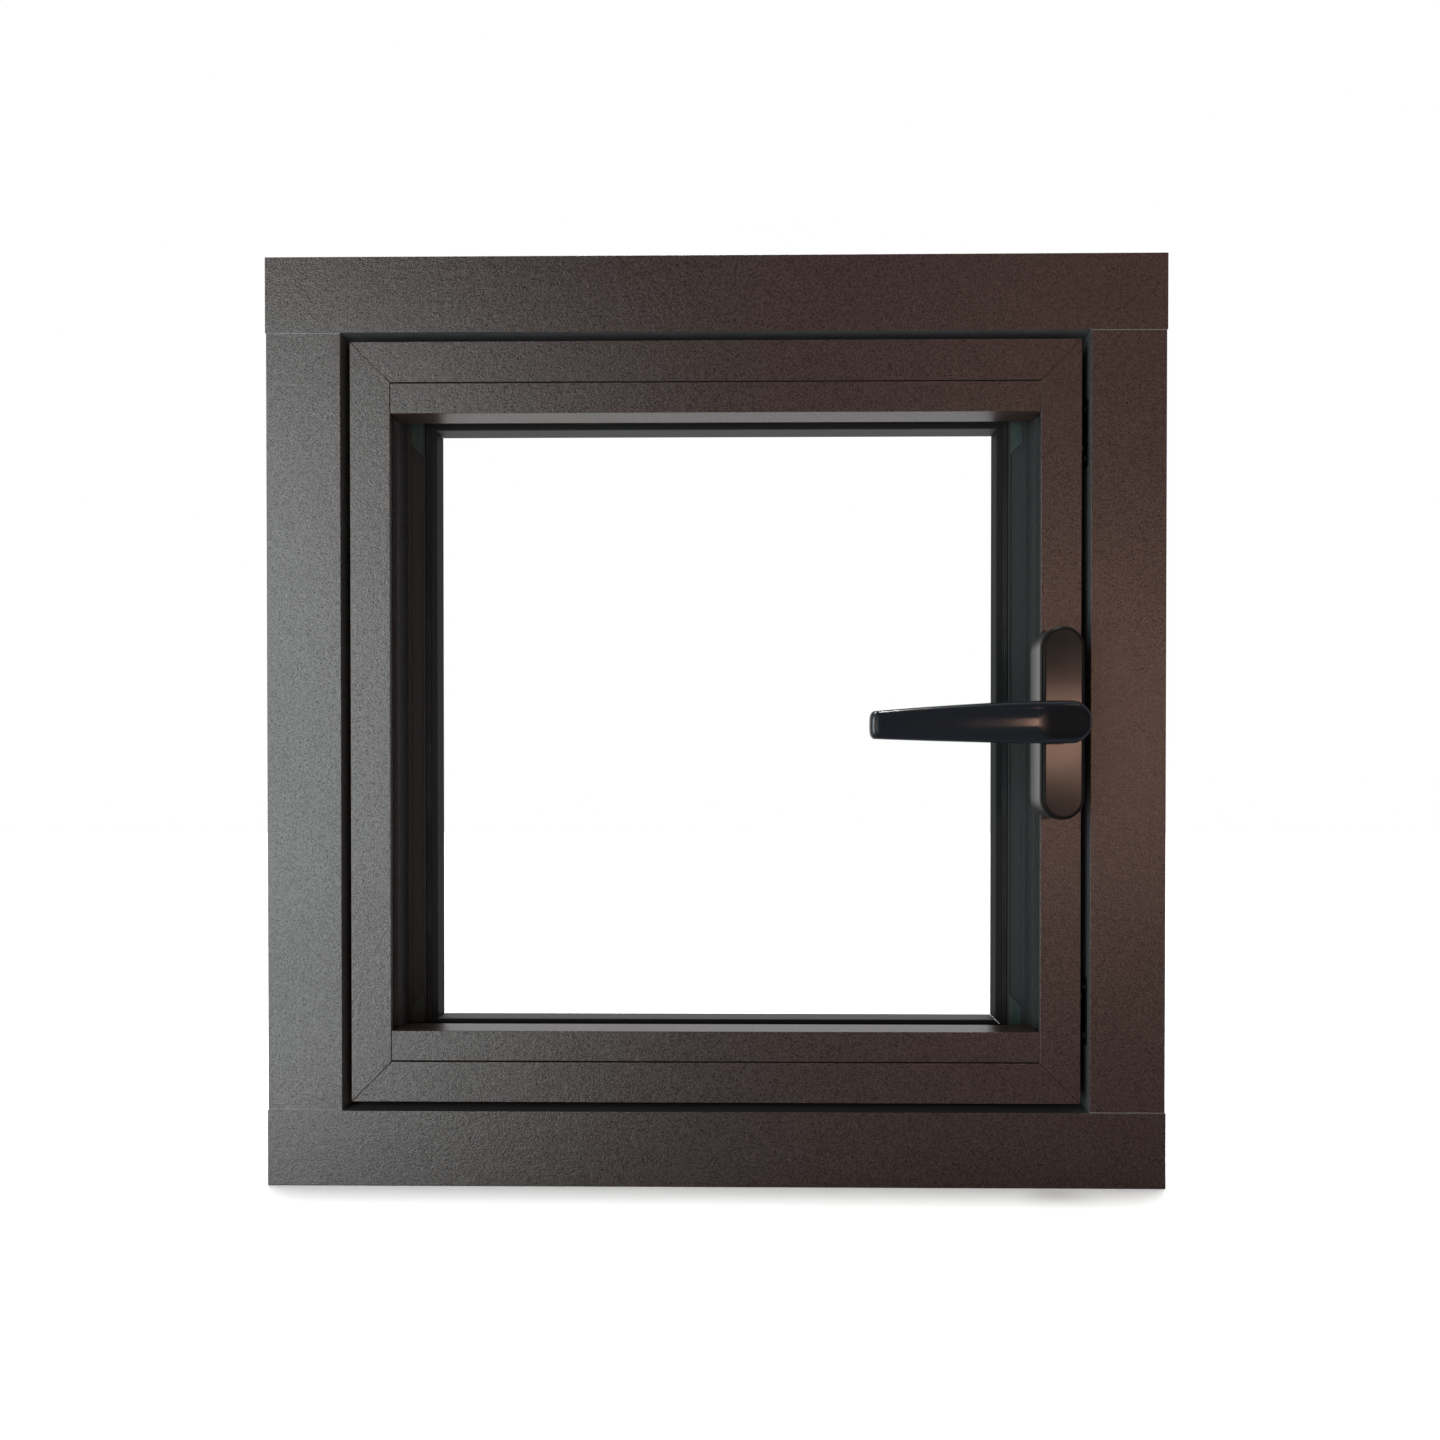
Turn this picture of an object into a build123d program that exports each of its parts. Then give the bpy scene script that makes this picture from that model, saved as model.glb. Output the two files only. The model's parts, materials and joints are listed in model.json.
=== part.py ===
from build123d import *
import math
import os

# Outward-opening casement window, side hung on the left, seen from indoors.
# +X is right, +Z is up and +Y is outdoors. The origin is the middle of the
# frame's underside, at half the frame's depth. All sizes are millimetres.

# ---- driving dimensions ----
WIDTH = 600.0
HEIGHT = 621.0
FRAME_FACE = 50.5
FRAME_DEPTH = 50.0
JAMB_INSET = 0.5
GAP = 6.0
SASH_FACE = 27.0
SASH_DEPTH = 54.0
LIP_REACH = 47.6
LIP_DEPTH = 37.0
FLANGE_REACH = 12.0
FLANGE_THICK = 2.5
BEAD_JOINT = 0.7
BEAD_FACE = 20.1
BEAD_DEPTH = 21.0
WALL = 1.8
EDGE_R = 0.5
SAW_GAP = 0.1

# thermal break strips
STRIP = 2.2
STRIP_GRIP = 1.6
STRIP_PLAY = 0.1
FRAME_BREAK = (18.0, 32.0)
SASH_BREAK = (17.0, 33.0)
REBATE_STEP = 2.0

# hinges
HINGE_AXIS_X = -262.0
HINGE_AXIS_Y = 32.0
HINGE_BARREL_R = 6.0
HINGE_PIN_R = 2.5
HINGE_LEAF = 3.0
HINGE_KNUCKLE = 20.0
HINGE_FROM_END = 138.0
HINGE_SCREW_R = 1.9

# handle and drive gear
SPINDLE_X = 223.6
SPINDLE_Z = HEIGHT / 2 - 1.5
BASE_W = 27.6
BASE_L = 124.0
BASE_BODY = 21.5
BASE_COVER = 5.5
BASE_WALL = 1.8
GEAR_MODULE = 1.25
GEAR_TEETH = 10
GEAR_R = GEAR_MODULE * GEAR_TEETH / 2
GEAR_WIDTH = 7.0
TRAVEL = GEAR_R * math.pi / 2
DRIVE_PIN_X = 8.5
DRIVE_PIN_Z = 32.0
DRIVE_PIN_R = 2.5
LEVER_LEN = 125.4
LEVER_CAP = 4.5
LEVER_THICK = 13.0
HUB_R = 13.1
LEVER_TIP = 9.2
LEVER_DROP = 1.9
NECK_LEN = 6.5

# drive rods and keeps
ROD_W = 10.0
ROD_T = 2.4
ROD_GROOVE = (4.8, 15.8)
ROD_GROOVE_DEEP = 3.2
LOCK_PIN_R = 3.0
LOCK_PIN_TIP = 3.8
LOCK_FROM_END = 70.0
KEEP_PLATE = 1.0
KEEP_HOOK = 4.1

# derived places
INDOOR = -FRAME_DEPTH / 2
SASH_W = WIDTH - 2 * (FRAME_FACE + GAP)
SASH_H = HEIGHT - 2 * (FRAME_FACE + GAP)
SASH_EDGE_X = SASH_W / 2
JAMB_LEN = HEIGHT - 2 * FRAME_FACE - 2 * SAW_GAP
OUTER_JAMB_LEN = JAMB_LEN + 2 * REBATE_STEP
MID_Z = HEIGHT / 2
ROD_Y = INDOOR + sum(ROD_GROOVE) / 2
BASE_DEPTH = BASE_BODY + BASE_COVER


# ---- helpers ----
def depth(d):
    """Y of a place d behind the indoor face."""
    return INDOOR + d


def outline(*points):
    """A closed section face from (depth, reach) points."""
    return make_face(Polyline(*[(depth(d), u) for d, u in points], close=True))


def slab(d0, d1, u0, u1):
    """A rectangular section face between two depths and two reaches."""
    return outline((d0, u0), (d0, u1), (d1, u1), (d1, u0))


def dot(d, u, r):
    """A round section face."""
    return Pos(depth(d), u) * Circle(r)


def eased(section, places, r=EDGE_R):
    """Round the section's corners that lie at the given (depth, reach) places."""
    picked = [
        v for v in section.vertices()
        if any(abs(v.X - depth(d)) < 0.01 and abs(v.Y - u) < 0.01 for d, u in places)
    ]
    return fillet(picked, r)


def bar(section, length):
    """Run a section along X, centred."""
    return extrude(Plane.YZ * section, length / 2, both=True)


def box(x0, x1, y0, y1, z0, z1):
    """A plain block between two corners."""
    return Pos((x0 + x1) / 2, (y0 + y1) / 2, (z0 + z1) / 2) * Box(
        abs(x1 - x0), abs(y1 - y0), abs(z1 - z0)
    )


def rod_along(direction, start, r, length):
    """A cylinder from a start point along a direction."""
    return extrude(Plane(start, z_dir=direction) * Circle(r), length)


def mitred(section, length, gap=0.0):
    """A bar with both ends cut at 45 degrees towards the opening."""
    out = 2 * FLANGE_REACH
    deep = 2 * LIP_REACH
    half = length / 2 - gap
    cutter = make_face(Polyline(
        (-half - out, -out), (half + out, -out), (half - deep, deep), (-half + deep, deep),
        close=True,
    ))
    prism = extrude(Plane.XZ * cutter, 4 * FRAME_DEPTH, both=True)
    return bar(section, length + 2 * out) & prism


def place(member, side, width, height):
    """Turn a bottom member, outer edge on Z = 0, to its side of a ring."""
    turn = {"bottom": 0, "left": 90, "top": 180, "right": -90}[side]
    reach = height / 2 if side in ("bottom", "top") else width / 2
    return Pos(0, 0, MID_Z) * (Rot(0, turn, 0) * (Pos(0, 0, -reach) * member))


def ring(section, width, height):
    """Four mitred bars joined into one closed ring."""
    long_side = {"bottom": width, "top": width, "left": height, "right": height}
    bars = [
        place(mitred(section, long_side[s]), s, width, height)
        for s in ("bottom", "left", "top", "right")
    ]
    return bars[0] + bars[1] + bars[2] + bars[3]


def group(solids):
    """Several separate solids in one node."""
    flat = []
    for s in solids:
        flat.extend(s.solids())
    return Compound(children=flat)


def countersunk(start, direction, shank_r, head_r, length):
    """A countersunk screw whose flat head lies on its start plane."""
    head = head_r - shank_r
    at = Plane(start, z_dir=direction)
    cone = loft([at * Circle(head_r), at.offset(head) * Circle(shank_r)])
    shank = extrude(at.offset(head) * Circle(shank_r), length - head)
    recess = extrude(at * Rectangle(head_r * 1.1, shank_r * 0.4), 0.8)
    cross = extrude(at * Rectangle(shank_r * 0.4, head_r * 1.1), 0.8)
    return cone + shank - recess - cross


def countersunk_hole(start, direction, shank_r, head_r, length, play=0.1):
    """The hole that takes a countersunk screw."""
    head = head_r - shank_r
    at = Plane(start, z_dir=direction)
    cone = loft([at * Circle(head_r + play), at.offset(head) * Circle(shank_r + play)])
    back = extrude(at.offset(-6) * Circle(head_r + play), 6)
    return cone + back + extrude(at * Circle(shank_r + play), length + 1)


# ---- frame sections ----
def frame_strip_seats(inset):
    """Reach ranges of the shells' two strip seats."""
    inner = FRAME_FACE - 7.5
    return (inset, inset + STRIP), (inner, inner + STRIP + 2 * STRIP_PLAY)


def frame_inner_section(inset=0.0):
    """Indoor shell: two chambers, a rib with a screw port, strip grooves."""
    d1 = FRAME_BREAK[0]
    face = eased(slab(0, d1, inset, FRAME_FACE), [(0, inset), (0, FRAME_FACE)])
    mid = FRAME_FACE / 2
    hollow = slab(WALL, d1 - 3, inset + WALL, FRAME_FACE - WALL)
    hollow -= slab(0, d1, mid - 1, mid + 1)
    hollow -= dot(d1 / 2 - 0.6, mid, 3.4)
    face -= hollow
    face -= dot(d1 / 2 - 0.6, mid, 1.95)
    for u0, u1 in frame_strip_seats(inset):
        face -= slab(d1 - STRIP_GRIP, d1, u0, u1)
    return face


def frame_outer_section(inset=0.0):
    """Outdoor shell, stepped back from the opening so that the lock clears it."""
    d0, d1 = FRAME_BREAK[1], FRAME_DEPTH
    top = FRAME_FACE - REBATE_STEP
    face = eased(slab(d0, d1, inset, top), [(d1, inset), (d1, top)])
    mid = FRAME_FACE / 2
    hollow = slab(d0 + 3, d1 - WALL, inset + WALL, top - WALL)
    hollow -= slab(d0, d1, mid - 1, mid + 1)
    hollow -= dot((d0 + d1) / 2 + 0.6, mid, 3.4)
    face -= hollow
    face -= dot((d0 + d1) / 2 + 0.6, mid, 1.95)
    for u0, u1 in frame_strip_seats(inset):
        face -= slab(d0, d0 + STRIP_GRIP, u0, u1)
    return face


def frame_strip_section(inset=0.0):
    """Two insulating strips that hold the shells apart, the outer one flush."""
    d0 = FRAME_BREAK[0] - STRIP_GRIP
    d1 = FRAME_BREAK[1] + STRIP_GRIP
    (low, _), (high, _) = frame_strip_seats(inset)
    outer = slab(d0, d1, low, low + STRIP)
    return outer + slab(d0, d1, high + STRIP_PLAY, high + STRIP_PLAY + STRIP)


def frame_gasket_section():
    """Ribbed weather seal that fills the break on the opening side."""
    base = FRAME_FACE - 4.9
    face = slab(18.2, 31.8, base, FRAME_FACE - 1.8)
    for d in (20.4, 23.4, 26.4, 29.4):
        face += dot(d, FRAME_FACE - 1.8, 1.1)
    return face


# ---- sash sections ----
def sash_inner_section():
    """Indoor shell: drive rod groove outside, bead groove inside."""
    g0, g1 = ROD_GROOVE
    d1 = SASH_BREAK[0]
    face = eased(outline(
        (0, 0), (0, SASH_FACE), (3, SASH_FACE), (3, SASH_FACE - 3), (14, SASH_FACE - 3),
        (14, SASH_FACE), (d1 - STRIP_GRIP, SASH_FACE), (d1 - STRIP_GRIP, SASH_FACE - 2.4),
        (d1, SASH_FACE - 2.4), (d1, 0), (g1, 0), (g1, ROD_GROOVE_DEEP),
        (g0, ROD_GROOVE_DEEP), (g0, 0),
    ), [(0, 0), (0, SASH_FACE)])
    face -= slab(WALL, 14.2, 5.0, 22.2)
    face -= slab(d1 - STRIP_GRIP, d1, 5.0, 5.0 + STRIP + 2 * STRIP_PLAY)
    return face


def sash_outer_section():
    """Outdoor shell: glazing lip inside, overlapping flange outside."""
    d0, d1 = SASH_BREAK[1], SASH_DEPTH
    lip, reach = LIP_DEPTH, LIP_REACH
    face = eased(outline(
        (d0, 0), (d0, SASH_FACE - 2.4), (d0 + STRIP_GRIP, SASH_FACE - 2.4),
        (d0 + STRIP_GRIP, SASH_FACE), (lip, SASH_FACE), (lip, 29.6), (lip + 1.2, 29.6),
        (lip + 1.2, 38.0), (lip, 38.0), (lip, 39.2), (lip + 5, 39.2), (lip + 5, 43.6),
        (lip, 43.6), (lip, reach), (d1, reach), (d1, -FLANGE_REACH),
        (d1 - FLANGE_THICK, -FLANGE_REACH), (d1 - FLANGE_THICK, 0),
    ), [(lip, reach), (d1, reach), (d1, -FLANGE_REACH)], 0.8)
    face -= slab(d0 + 3, d1 - 2, 2.0, 25.0)
    face -= slab(lip + 7, d1 - 2, 27.0, reach - 2)
    face -= slab(d0, d0 + STRIP_GRIP, 5.0, 5.0 + STRIP + 2 * STRIP_PLAY)
    return face


def sash_strip_section():
    """Outer insulating strip and the flush one in the glazing rebate."""
    d0 = SASH_BREAK[0] - STRIP_GRIP
    d1 = SASH_BREAK[1] + STRIP_GRIP
    low = 5.0 + STRIP_PLAY
    return slab(d0, d1, low, low + STRIP) + slab(d0, d1, SASH_FACE - 2.4, SASH_FACE)


def glazing_gasket_section():
    """Ribbed seal in the lip's groove."""
    lip = LIP_DEPTH
    face = slab(lip + 1.0, lip + 4.9, 39.3, 43.5)
    for u in (40.2, 41.4, 42.6):
        face += dot(lip + 1.0, u, 0.8)
    return face


def sash_seal_section():
    """Ribbed seal on the flange, in the shadow gap and over the frame's face."""
    d1 = SASH_DEPTH - FLANGE_THICK
    face = slab(47.0, d1 - 0.05, -5.3, -0.2)
    face += slab(FRAME_DEPTH + 0.4, d1 - 0.05, -FLANGE_REACH + 1, -0.2)
    for u in (-4.4, -2.75, -1.1):
        face += dot(47.0, u, 0.75)
    return face


def bead_section():
    """Snap-in glazing bead with its clip foot."""
    u0 = SASH_FACE + BEAD_JOINT
    u1 = u0 + BEAD_FACE
    face = eased(slab(0, BEAD_DEPTH, u0, u1), [(0, u0), (0, u1), (BEAD_DEPTH, u1)])
    face += slab(4.6, 12.4, SASH_FACE - 2.6, u0 + 1)
    face -= slab(WALL, BEAD_DEPTH - WALL, u0 + WALL, u1 - WALL)
    return face


# ---- frame ----
SIDES = {"head": "top", "sill": "bottom", "left_jamb": "left", "right_jamb": "right"}
PORT_DEPTHS = (FRAME_BREAK[0] / 2 - 0.6, (FRAME_BREAK[1] + FRAME_DEPTH) / 2 + 0.6)
JOINT_SCREW_LEN = FRAME_FACE + 28.0
JOINT_SCREW_X = WIDTH / 2 - FRAME_FACE / 2
WALL_FIX_R = 4.0
WALL_FIX_SPAN = 400.0


def joint_screw_places():
    """Start point and direction of each screw through head and sill."""
    for sx in (-1, 1):
        for d in PORT_DEPTHS:
            yield (sx * JOINT_SCREW_X, depth(d), HEIGHT), (0, 0, -1)
            yield (sx * JOINT_SCREW_X, depth(d), 0), (0, 0, 1)


def frame_joint_screws():
    """Long screws that run through head and sill into the jambs' ports."""
    return group([
        countersunk(p, n, 1.85, 3.8, JOINT_SCREW_LEN) for p, n in joint_screw_places()
    ])


def frame_member(section_of, name, jamb_len):
    """Head and sill run full width; the jambs stand between them."""
    side = SIDES[name]
    if side in ("top", "bottom"):
        member = place(bar(section_of(0.0), WIDTH), side, WIDTH, HEIGHT)
        holes = [
            countersunk_hole(p, n, 1.85, 3.8, JOINT_SCREW_LEN)
            for p, n in joint_screw_places()
        ]
        return member - holes
    return place(bar(section_of(JAMB_INSET), jamb_len), side, WIDTH, HEIGHT)


def frame_strips(name):
    """A frame member's insulating strips."""
    side = SIDES[name]
    if side in ("top", "bottom"):
        return place(bar(frame_strip_section(), WIDTH), side, WIDTH, HEIGHT)
    return place(bar(frame_strip_section(JAMB_INSET), JAMB_LEN), side, WIDTH, HEIGHT)


def wall_fixing_holes():
    """Through holes for the screws that fasten the jambs to a wall."""
    y = depth(PORT_DEPTHS[1])
    return [
        rod_along((1, 0, 0), (-WIDTH / 2 - 5, y, MID_Z + s * WALL_FIX_SPAN / 2),
                  WALL_FIX_R, WIDTH + 10)
        for s in (-1, 1)
    ]


def frame_nodes():
    """The frame's shells, strips, screws and seal."""
    nodes = {}
    for name in SIDES:
        nodes[f"frame_{name}_inner"] = frame_member(frame_inner_section, name, JAMB_LEN)
        nodes[f"frame_{name}_outer"] = frame_member(frame_outer_section, name, OUTER_JAMB_LEN)
        nodes[f"frame_{name}_thermal_strips"] = group([frame_strips(name)])
    for name in ("left_jamb", "right_jamb"):
        nodes[f"frame_{name}_outer"] -= wall_fixing_holes()
    nodes["frame_left_jamb_outer"] -= hinge_screw_holes("frame")
    nodes["frame_right_jamb_inner"] -= keep_screw_holes()
    nodes["frame_joint_screws"] = frame_joint_screws()
    nodes["frame_gasket"] = ring(frame_gasket_section(), WIDTH, HEIGHT)
    return nodes


# ---- sash ----
SASH_SIDES = {
    "top_rail": "top", "bottom_rail": "bottom", "hinge_stile": "left", "lock_stile": "right",
}


def sash_length(side):
    """Outer length of a sash member."""
    return SASH_W if side in ("top", "bottom") else SASH_H


def corner_block(d0, d1, u0, u1, leg):
    """An L-shaped block that fills a chamber round one corner, bottom left."""
    x0, z0 = -SASH_W / 2, MID_Z - SASH_H / 2
    upright = box(x0 + u0, x0 + u1, depth(d0), depth(d1), z0 + u0, z0 + leg)
    flat = box(x0 + u0, x0 + leg, depth(d0), depth(d1), z0 + u0, z0 + u1)
    return upright + flat


def four_corners(block):
    """The same block in each corner of the sash."""
    left = [block, mirror(block, Plane.XY.offset(MID_Z))]
    return group(left + [mirror(b, Plane.YZ) for b in left])


def corner_plate():
    """A thin angle in the lip's channel, its ends cut parallel to the mitre."""
    u0, u1, leg = 29.8, 37.8, 57.0
    x0, z0 = -SASH_W / 2, MID_Z - SASH_H / 2
    end = leg + u1 - u0
    face = make_face(Polyline(
        (x0 + u0, z0 + u0), (x0 + leg, z0 + u0), (x0 + end, z0 + u1), (x0 + u1, z0 + u1),
        (x0 + u1, z0 + end), (x0 + u0, z0 + leg), close=True,
    ))
    d0 = LIP_DEPTH + 0.1
    return Pos(0, depth(d0), 0) * extrude(Plane.XZ * face, -1.0)


def drive_slots():
    """Slots in the lock stile for the drive pins and the rod drivers."""
    cut = []
    for s in (-1, 1):
        z0 = SPINDLE_Z + s * DRIVE_PIN_Z
        z1 = z0 + s * TRAVEL
        x = SPINDLE_X + DRIVE_PIN_X
        low, high = min(z0, z1), max(z0, z1)
        cut.append(box(x - 3.2, x + 3.2, depth(-1), depth(3), low - 3.5, high + 3.5))
        cut.append(box(SASH_EDGE_X - 6, SASH_EDGE_X - 2, depth(6.0), depth(12.6),
                       low - 6.5, high + 6.5))
    return cut


def sash_nodes():
    """The sash's shells, strips, corner joints, beads and seals."""
    nodes = {}
    for name, side in SASH_SIDES.items():
        long = sash_length(side)
        for part, section in (("inner", sash_inner_section), ("outer", sash_outer_section)):
            nodes[f"sash_{name}_{part}"] = place(
                mitred(section(), long, SAW_GAP), side, SASH_W, SASH_H)
        nodes[f"sash_{name}_thermal_strips"] = group([place(
            mitred(sash_strip_section(), long, SAW_GAP), side, SASH_W, SASH_H)])
    nodes["sash_lock_stile_inner"] -= drive_slots() + handle_screw_holes()
    nodes["sash_hinge_stile_outer"] -= hinge_screw_holes("sash")
    nodes["inner_corner_cleats"] = four_corners(corner_block(2.0, 14.0, 5.2, 22.0, 50.0))
    nodes["outer_corner_cleats"] = four_corners(corner_block(36.2, 51.8, 2.2, 24.8, 50.0))
    nodes["corner_alignment_plates"] = four_corners(corner_plate())
    bead = bar(bead_section(), SASH_W - 2 * SASH_FACE - 0.6)
    nodes["top_glazing_bead"] = place(bead, "top", SASH_W, SASH_H)
    nodes["bottom_glazing_bead"] = place(bead, "bottom", SASH_W, SASH_H)
    nodes["glazing_gasket"] = ring(glazing_gasket_section(), SASH_W, SASH_H)
    nodes["sash_perimeter_seal"] = ring(sash_seal_section(), SASH_W, SASH_H)
    return nodes


# ---- hinges ----
LEAF_H = 3 * HINGE_KNUCKLE
LEAF_W = 26.0
FRAME_LEAF_X = HINGE_AXIS_X - 5.0
SASH_LEAF_X = HINGE_AXIS_X + 8.0


def hinge_levels():
    """Z of the middle of each hinge."""
    return (HINGE_FROM_END, HEIGHT - HINGE_FROM_END)


def hinge_screw_places(leaf):
    """Start points of the screws of one kind of leaf."""
    if leaf == "frame":
        x, y = FRAME_LEAF_X - LEAF_W / 2 - 2, depth(FRAME_DEPTH) + HINGE_LEAF
    else:
        x, y = SASH_LEAF_X + LEAF_W / 2 + 2, depth(SASH_DEPTH) + HINGE_LEAF
    for z in hinge_levels():
        for s in (-1, 1):
            yield (x, y, z + s * LEAF_H * 0.32)


def hinge_screw_holes(leaf):
    """Holes for the leaf screws."""
    return [
        countersunk_hole(p, (0, -1, 0), HINGE_SCREW_R, 3.8, 12.0)
        for p in hinge_screw_places(leaf)
    ]


def hinge_screws():
    """Countersunk screws of both leaves."""
    return {
        kind: group([
            countersunk(p, (0, -1, 0), HINGE_SCREW_R, 3.8, 12.0)
            for p in hinge_screw_places(kind)
        ])
        for kind in ("frame", "sash")
    }


def knuckle(z0, z1, bore):
    """One barrel length of a hinge."""
    body = rod_along((0, 0, 1), (HINGE_AXIS_X, HINGE_AXIS_Y, z0), HINGE_BARREL_R, z1 - z0)
    return body - rod_along((0, 0, 1), (HINGE_AXIS_X, HINGE_AXIS_Y, z0 - 1), bore, z1 - z0 + 2)


def frame_leaf(z):
    """Leaf with two knuckles, on the frame's outdoor face."""
    y0 = depth(FRAME_DEPTH)
    z0, z1 = z - LEAF_H / 2, z + LEAF_H / 2
    leaf = box(FRAME_LEAF_X - LEAF_W, FRAME_LEAF_X - 2, y0, y0 + HINGE_LEAF, z0, z1)
    leaf = fillet(leaf.edges().filter_by(Axis.Y).group_by(Axis.X)[0], 5)
    for a, b in ((z0, z0 + HINGE_KNUCKLE - 0.2), (z1 - HINGE_KNUCKLE + 0.2, z1)):
        leaf += box(FRAME_LEAF_X - 4, HINGE_AXIS_X, y0 + 1.2, y0 + 5, a, b)
        leaf += knuckle(a, b, HINGE_PIN_R + 0.02)
        leaf -= rod_along((0, 0, 1), (HINGE_AXIS_X, HINGE_AXIS_Y, a - 1),
                          HINGE_PIN_R + 0.02, b - a + 2)
    return leaf


def sash_leaf(z):
    """Leaf with the middle knuckle, on the sash's outdoor face."""
    y0 = depth(SASH_DEPTH)
    z0, z1 = z - LEAF_H / 2, z + LEAF_H / 2
    a, b = z0 + HINGE_KNUCKLE + 0.2, z1 - HINGE_KNUCKLE - 0.2
    leaf = box(SASH_LEAF_X, SASH_LEAF_X + LEAF_W, y0, y0 + HINGE_LEAF, z0, z1)
    leaf = fillet(leaf.edges().filter_by(Axis.Y).group_by(Axis.X)[-1], 5)
    leaf += box(HINGE_AXIS_X, SASH_LEAF_X + 1, y0, y0 + HINGE_LEAF, a, b)
    leaf += knuckle(a, b, HINGE_PIN_R + 0.05)
    return leaf - rod_along((0, 0, 1), (HINGE_AXIS_X, HINGE_AXIS_Y, a - 1),
                            HINGE_PIN_R + 0.05, b - a + 2)


def hinge_pin(z):
    """Pin with a cap at each end."""
    z0 = z - LEAF_H / 2
    pin = rod_along((0, 0, 1), (HINGE_AXIS_X, HINGE_AXIS_Y, z0), HINGE_PIN_R, LEAF_H)
    for at, way in ((z0, -1), (z0 + LEAF_H, 1)):
        cap = rod_along((0, 0, way), (HINGE_AXIS_X, HINGE_AXIS_Y, at), 5.2, 3.0)
        rim = cap.edges().group_by(Axis.Z)[-1 if way > 0 else 0]
        pin += fillet(rim, 1.5)
    return pin


def hinge_nodes():
    """Both hinges, each kind of piece in its own node."""
    screws = hinge_screws()
    nodes = {}
    for name, z in zip(("lower", "upper"), hinge_levels()):
        nodes[f"{name}_hinge_frame_leaf"] = frame_leaf(z) - hinge_screw_holes("frame")
        nodes[f"{name}_hinge_sash_leaf"] = sash_leaf(z) - hinge_screw_holes("sash")
    nodes["hinge_pins"] = group([hinge_pin(z) for z in hinge_levels()])
    nodes["hinge_frame_screws"] = screws["frame"]
    nodes["hinge_sash_screws"] = screws["sash"]
    return nodes


# ---- handle base ----
BASE_Y = depth(0)
BASE_FRONT_Y = BASE_Y - BASE_DEPTH
SPLIT_Y = BASE_Y - BASE_BODY
FIX_SCREW_Z = 52.0
GEAR_Y0 = BASE_Y - 15.0
GEAR_Y1 = GEAR_Y0 + GEAR_WIDTH
NECK_R = 9.0
DETENT_R = 1.5
DETENT_Y = GEAR_Y0 - 2.3
DETENT_Z = 6.25


def stadium(y, w, length, x=SPINDLE_X, z=SPINDLE_Z):
    """An upright slot shape on a plane that faces indoors."""
    at = Plane((x, y, z), x_dir=(1, 0, 0), z_dir=(0, -1, 0))
    return at * Rot(0, 0, 90) * SlotOverall(length, w)


def handle_screw_holes():
    """Holes in the stile for the two handle screws."""
    return [
        rod_along((0, 1, 0), (SPINDLE_X, BASE_Y - 4, SPINDLE_Z + s * FIX_SCREW_Z), 2.6, 12)
        for s in (-1, 1)
    ]


def detent_bore():
    """The bore that holds the detent's ball and spring, above the gear's boss."""
    return rod_along((0, 0, 1), (SPINDLE_X, DETENT_Y, SPINDLE_Z + 7), DETENT_R + 0.3, 8.4)


def detent_ball():
    """Ball that clicks into the boss's notches at each end of the turn."""
    return Pos(SPINDLE_X, DETENT_Y, SPINDLE_Z + DETENT_Z) * Sphere(DETENT_R)


def detent_spring():
    """Coil spring behind the ball."""
    z0 = SPINDLE_Z + DETENT_Z + DETENT_R + 0.3
    coil = Helix(pitch=1.1, height=SPINDLE_Z + 15.0 - z0, radius=1.1)
    wire = sweep(Plane(coil @ 0, z_dir=coil % 0) * Circle(0.25), coil, is_frenet=True)
    return Pos(SPINDLE_X, DETENT_Y, z0) * wire


def handle_base():
    """Casing of the drive gear: a back plate with a wall round it."""
    body = extrude(stadium(BASE_Y, BASE_W, BASE_L), BASE_BODY)
    body -= extrude(stadium(BASE_Y - 3, BASE_W - 2 * BASE_WALL, BASE_L - 2 * BASE_WALL),
                    BASE_BODY)
    for s in (-1, 1):
        z = SPINDLE_Z + s * FIX_SCREW_Z
        body += rod_along((0, -1, 0), (SPINDLE_X, BASE_Y - 1, z), 5.0, BASE_BODY - 6)
        body -= rod_along((0, -1, 0), (SPINDLE_X, BASE_Y + 1, z), 2.6, BASE_BODY)
    bearing = rod_along((0, -1, 0), (SPINDLE_X, BASE_Y - 1, SPINDLE_Z), 6.4, 6.2)
    body += bearing
    body += box(SPINDLE_X - 2.8, SPINDLE_X + 2.8, BASE_Y - 2, GEAR_Y0 - 4.8,
                SPINDLE_Z + 8.2, SPINDLE_Z + 17)
    body -= detent_bore()
    body -= rod_along((0, -1, 0), (SPINDLE_X, BASE_Y - 1.5, SPINDLE_Z), 4.05, 10)
    for s in (-1, 1):
        z0 = SPINDLE_Z + s * DRIVE_PIN_Z
        z1 = z0 + s * TRAVEL
        x = SPINDLE_X + DRIVE_PIN_X
        body -= box(x - 3.2, x + 3.2, BASE_Y + 1, BASE_Y - 3.5,
                    min(z0, z1) - 3.5, max(z0, z1) + 3.5)
    return body


def handle_base_cover():
    """Front cover, with the bearing hole of the lever's neck."""
    cover = extrude(stadium(SPLIT_Y, BASE_W, BASE_L), BASE_COVER)
    cover = fillet(cover.faces().sort_by(Axis.Y)[0].edges(), 2.6)
    cover -= extrude(stadium(SPLIT_Y, BASE_W - 4, BASE_L - 4), BASE_COVER - 2.5)
    rim = extrude(stadium(SPLIT_Y + 2, BASE_W - 4, BASE_L - 4), 3.5)
    rim -= extrude(stadium(SPLIT_Y + 2, BASE_W - 6, BASE_L - 6), 3.5)
    cover += rim
    return cover - rod_along((0, -1, 0), (SPINDLE_X, SPLIT_Y + 3, SPINDLE_Z), NECK_R + 0.08, 12)


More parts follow.
